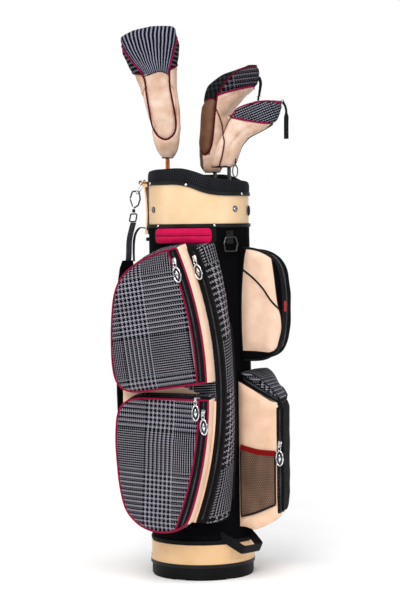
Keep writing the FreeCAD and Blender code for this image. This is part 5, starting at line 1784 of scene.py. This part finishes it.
def make_light(name, place, aim, size, watts):
    """A square softbox at a place, turned to an aim point, both in metres."""
    lamp = bpy.data.lights.new(name, "AREA")
    lamp.shape = "SQUARE"
    lamp.size = size
    lamp.energy = watts
    made = bpy.data.objects.new(name, lamp)
    made.location = place
    made.rotation_euler = (Vector(place) - Vector(aim)).to_track_quat("Z", "Y").to_euler()
    bpy.context.scene.collection.objects.link(made)


def make_sky_panel():
    """An even, very soft light from above and in front, as from a lit ceiling."""
    lamp = bpy.data.lights.new("ceiling", "SUN")
    lamp.energy = 2.3
    lamp.angle = math.radians(70)
    made = bpy.data.objects.new("ceiling", lamp)
    toward = Vector((math.sin(CLUB_TURN) * 0.5, -math.cos(CLUB_TURN) * 0.5, 1))
    made.rotation_euler = toward.to_track_quat("Z", "Y").to_euler()
    bpy.context.scene.collection.objects.link(made)


def make_world():
    """A bright wall behind the bag and a dimmer room round it."""
    world = bpy.data.worlds.new("studio")
    world.use_nodes = True
    nodes, links = world.node_tree.nodes, world.node_tree.links
    direction = nodes.new("ShaderNodeTexCoord")
    toward_wall = nodes.new("ShaderNodeVectorMath")
    toward_wall.operation = "DOT_PRODUCT"
    toward_wall.inputs[1].default_value = (-math.sin(CLUB_TURN), math.cos(CLUB_TURN), 0)
    brightness = nodes.new("ShaderNodeMapRange")
    for socket, value in zip(brightness.inputs[1:], (0.8, 0.93, 0.38, 1.0)):
        socket.default_value = value
    links.new(direction.outputs["Generated"], toward_wall.inputs[0])
    links.new(toward_wall.outputs["Value"], brightness.inputs[0])
    links.new(brightness.outputs[0], nodes["Background"].inputs["Strength"])
    nodes["Background"].inputs["Color"].default_value = (1, 1, 1, 1)
    bpy.context.scene.world = world
    bpy.context.scene.view_settings.view_transform = "Standard"


def make_camera():
    """A long-lens camera to the right of the front, at collar height, tipped down a little."""
    distance_away = 4.1
    eye_height = 0.769
    lens = 111.8
    right, ahead = math.sin(CLUB_TURN), -math.cos(CLUB_TURN)
    eye = Vector((right * distance_away, ahead * distance_away, eye_height))
    tilt = math.radians(2.335)
    back = Vector((right * math.cos(tilt), ahead * math.cos(tilt), math.sin(tilt)))
    roll = Matrix.Rotation(math.radians(-0.7), 4, "Z")
    camera = bpy.data.cameras.new("camera")
    camera.lens = lens
    camera.sensor_width = 36
    made = bpy.data.objects.new("camera", camera)
    made.matrix_world = Matrix.Translation(eye) @ back.to_track_quat("Z", "Y").to_matrix().to_4x4() @ roll
    bpy.context.scene.collection.objects.link(made)
    bpy.context.scene.camera = made


make_floor()
make_light("key_softbox", (0.9, -3.4, 2.3), (0, 0, 0.6), 1.4, 62)
make_light("left_softbox", (-2.4, -1.9, 1.3), (0, 0, 0.6), 0.9, 14)
make_light("right_softbox", (3.0, -0.4, 1.2), (0, 0, 0.6), 0.9, 14)
make_sky_panel()
make_world()
make_camera()
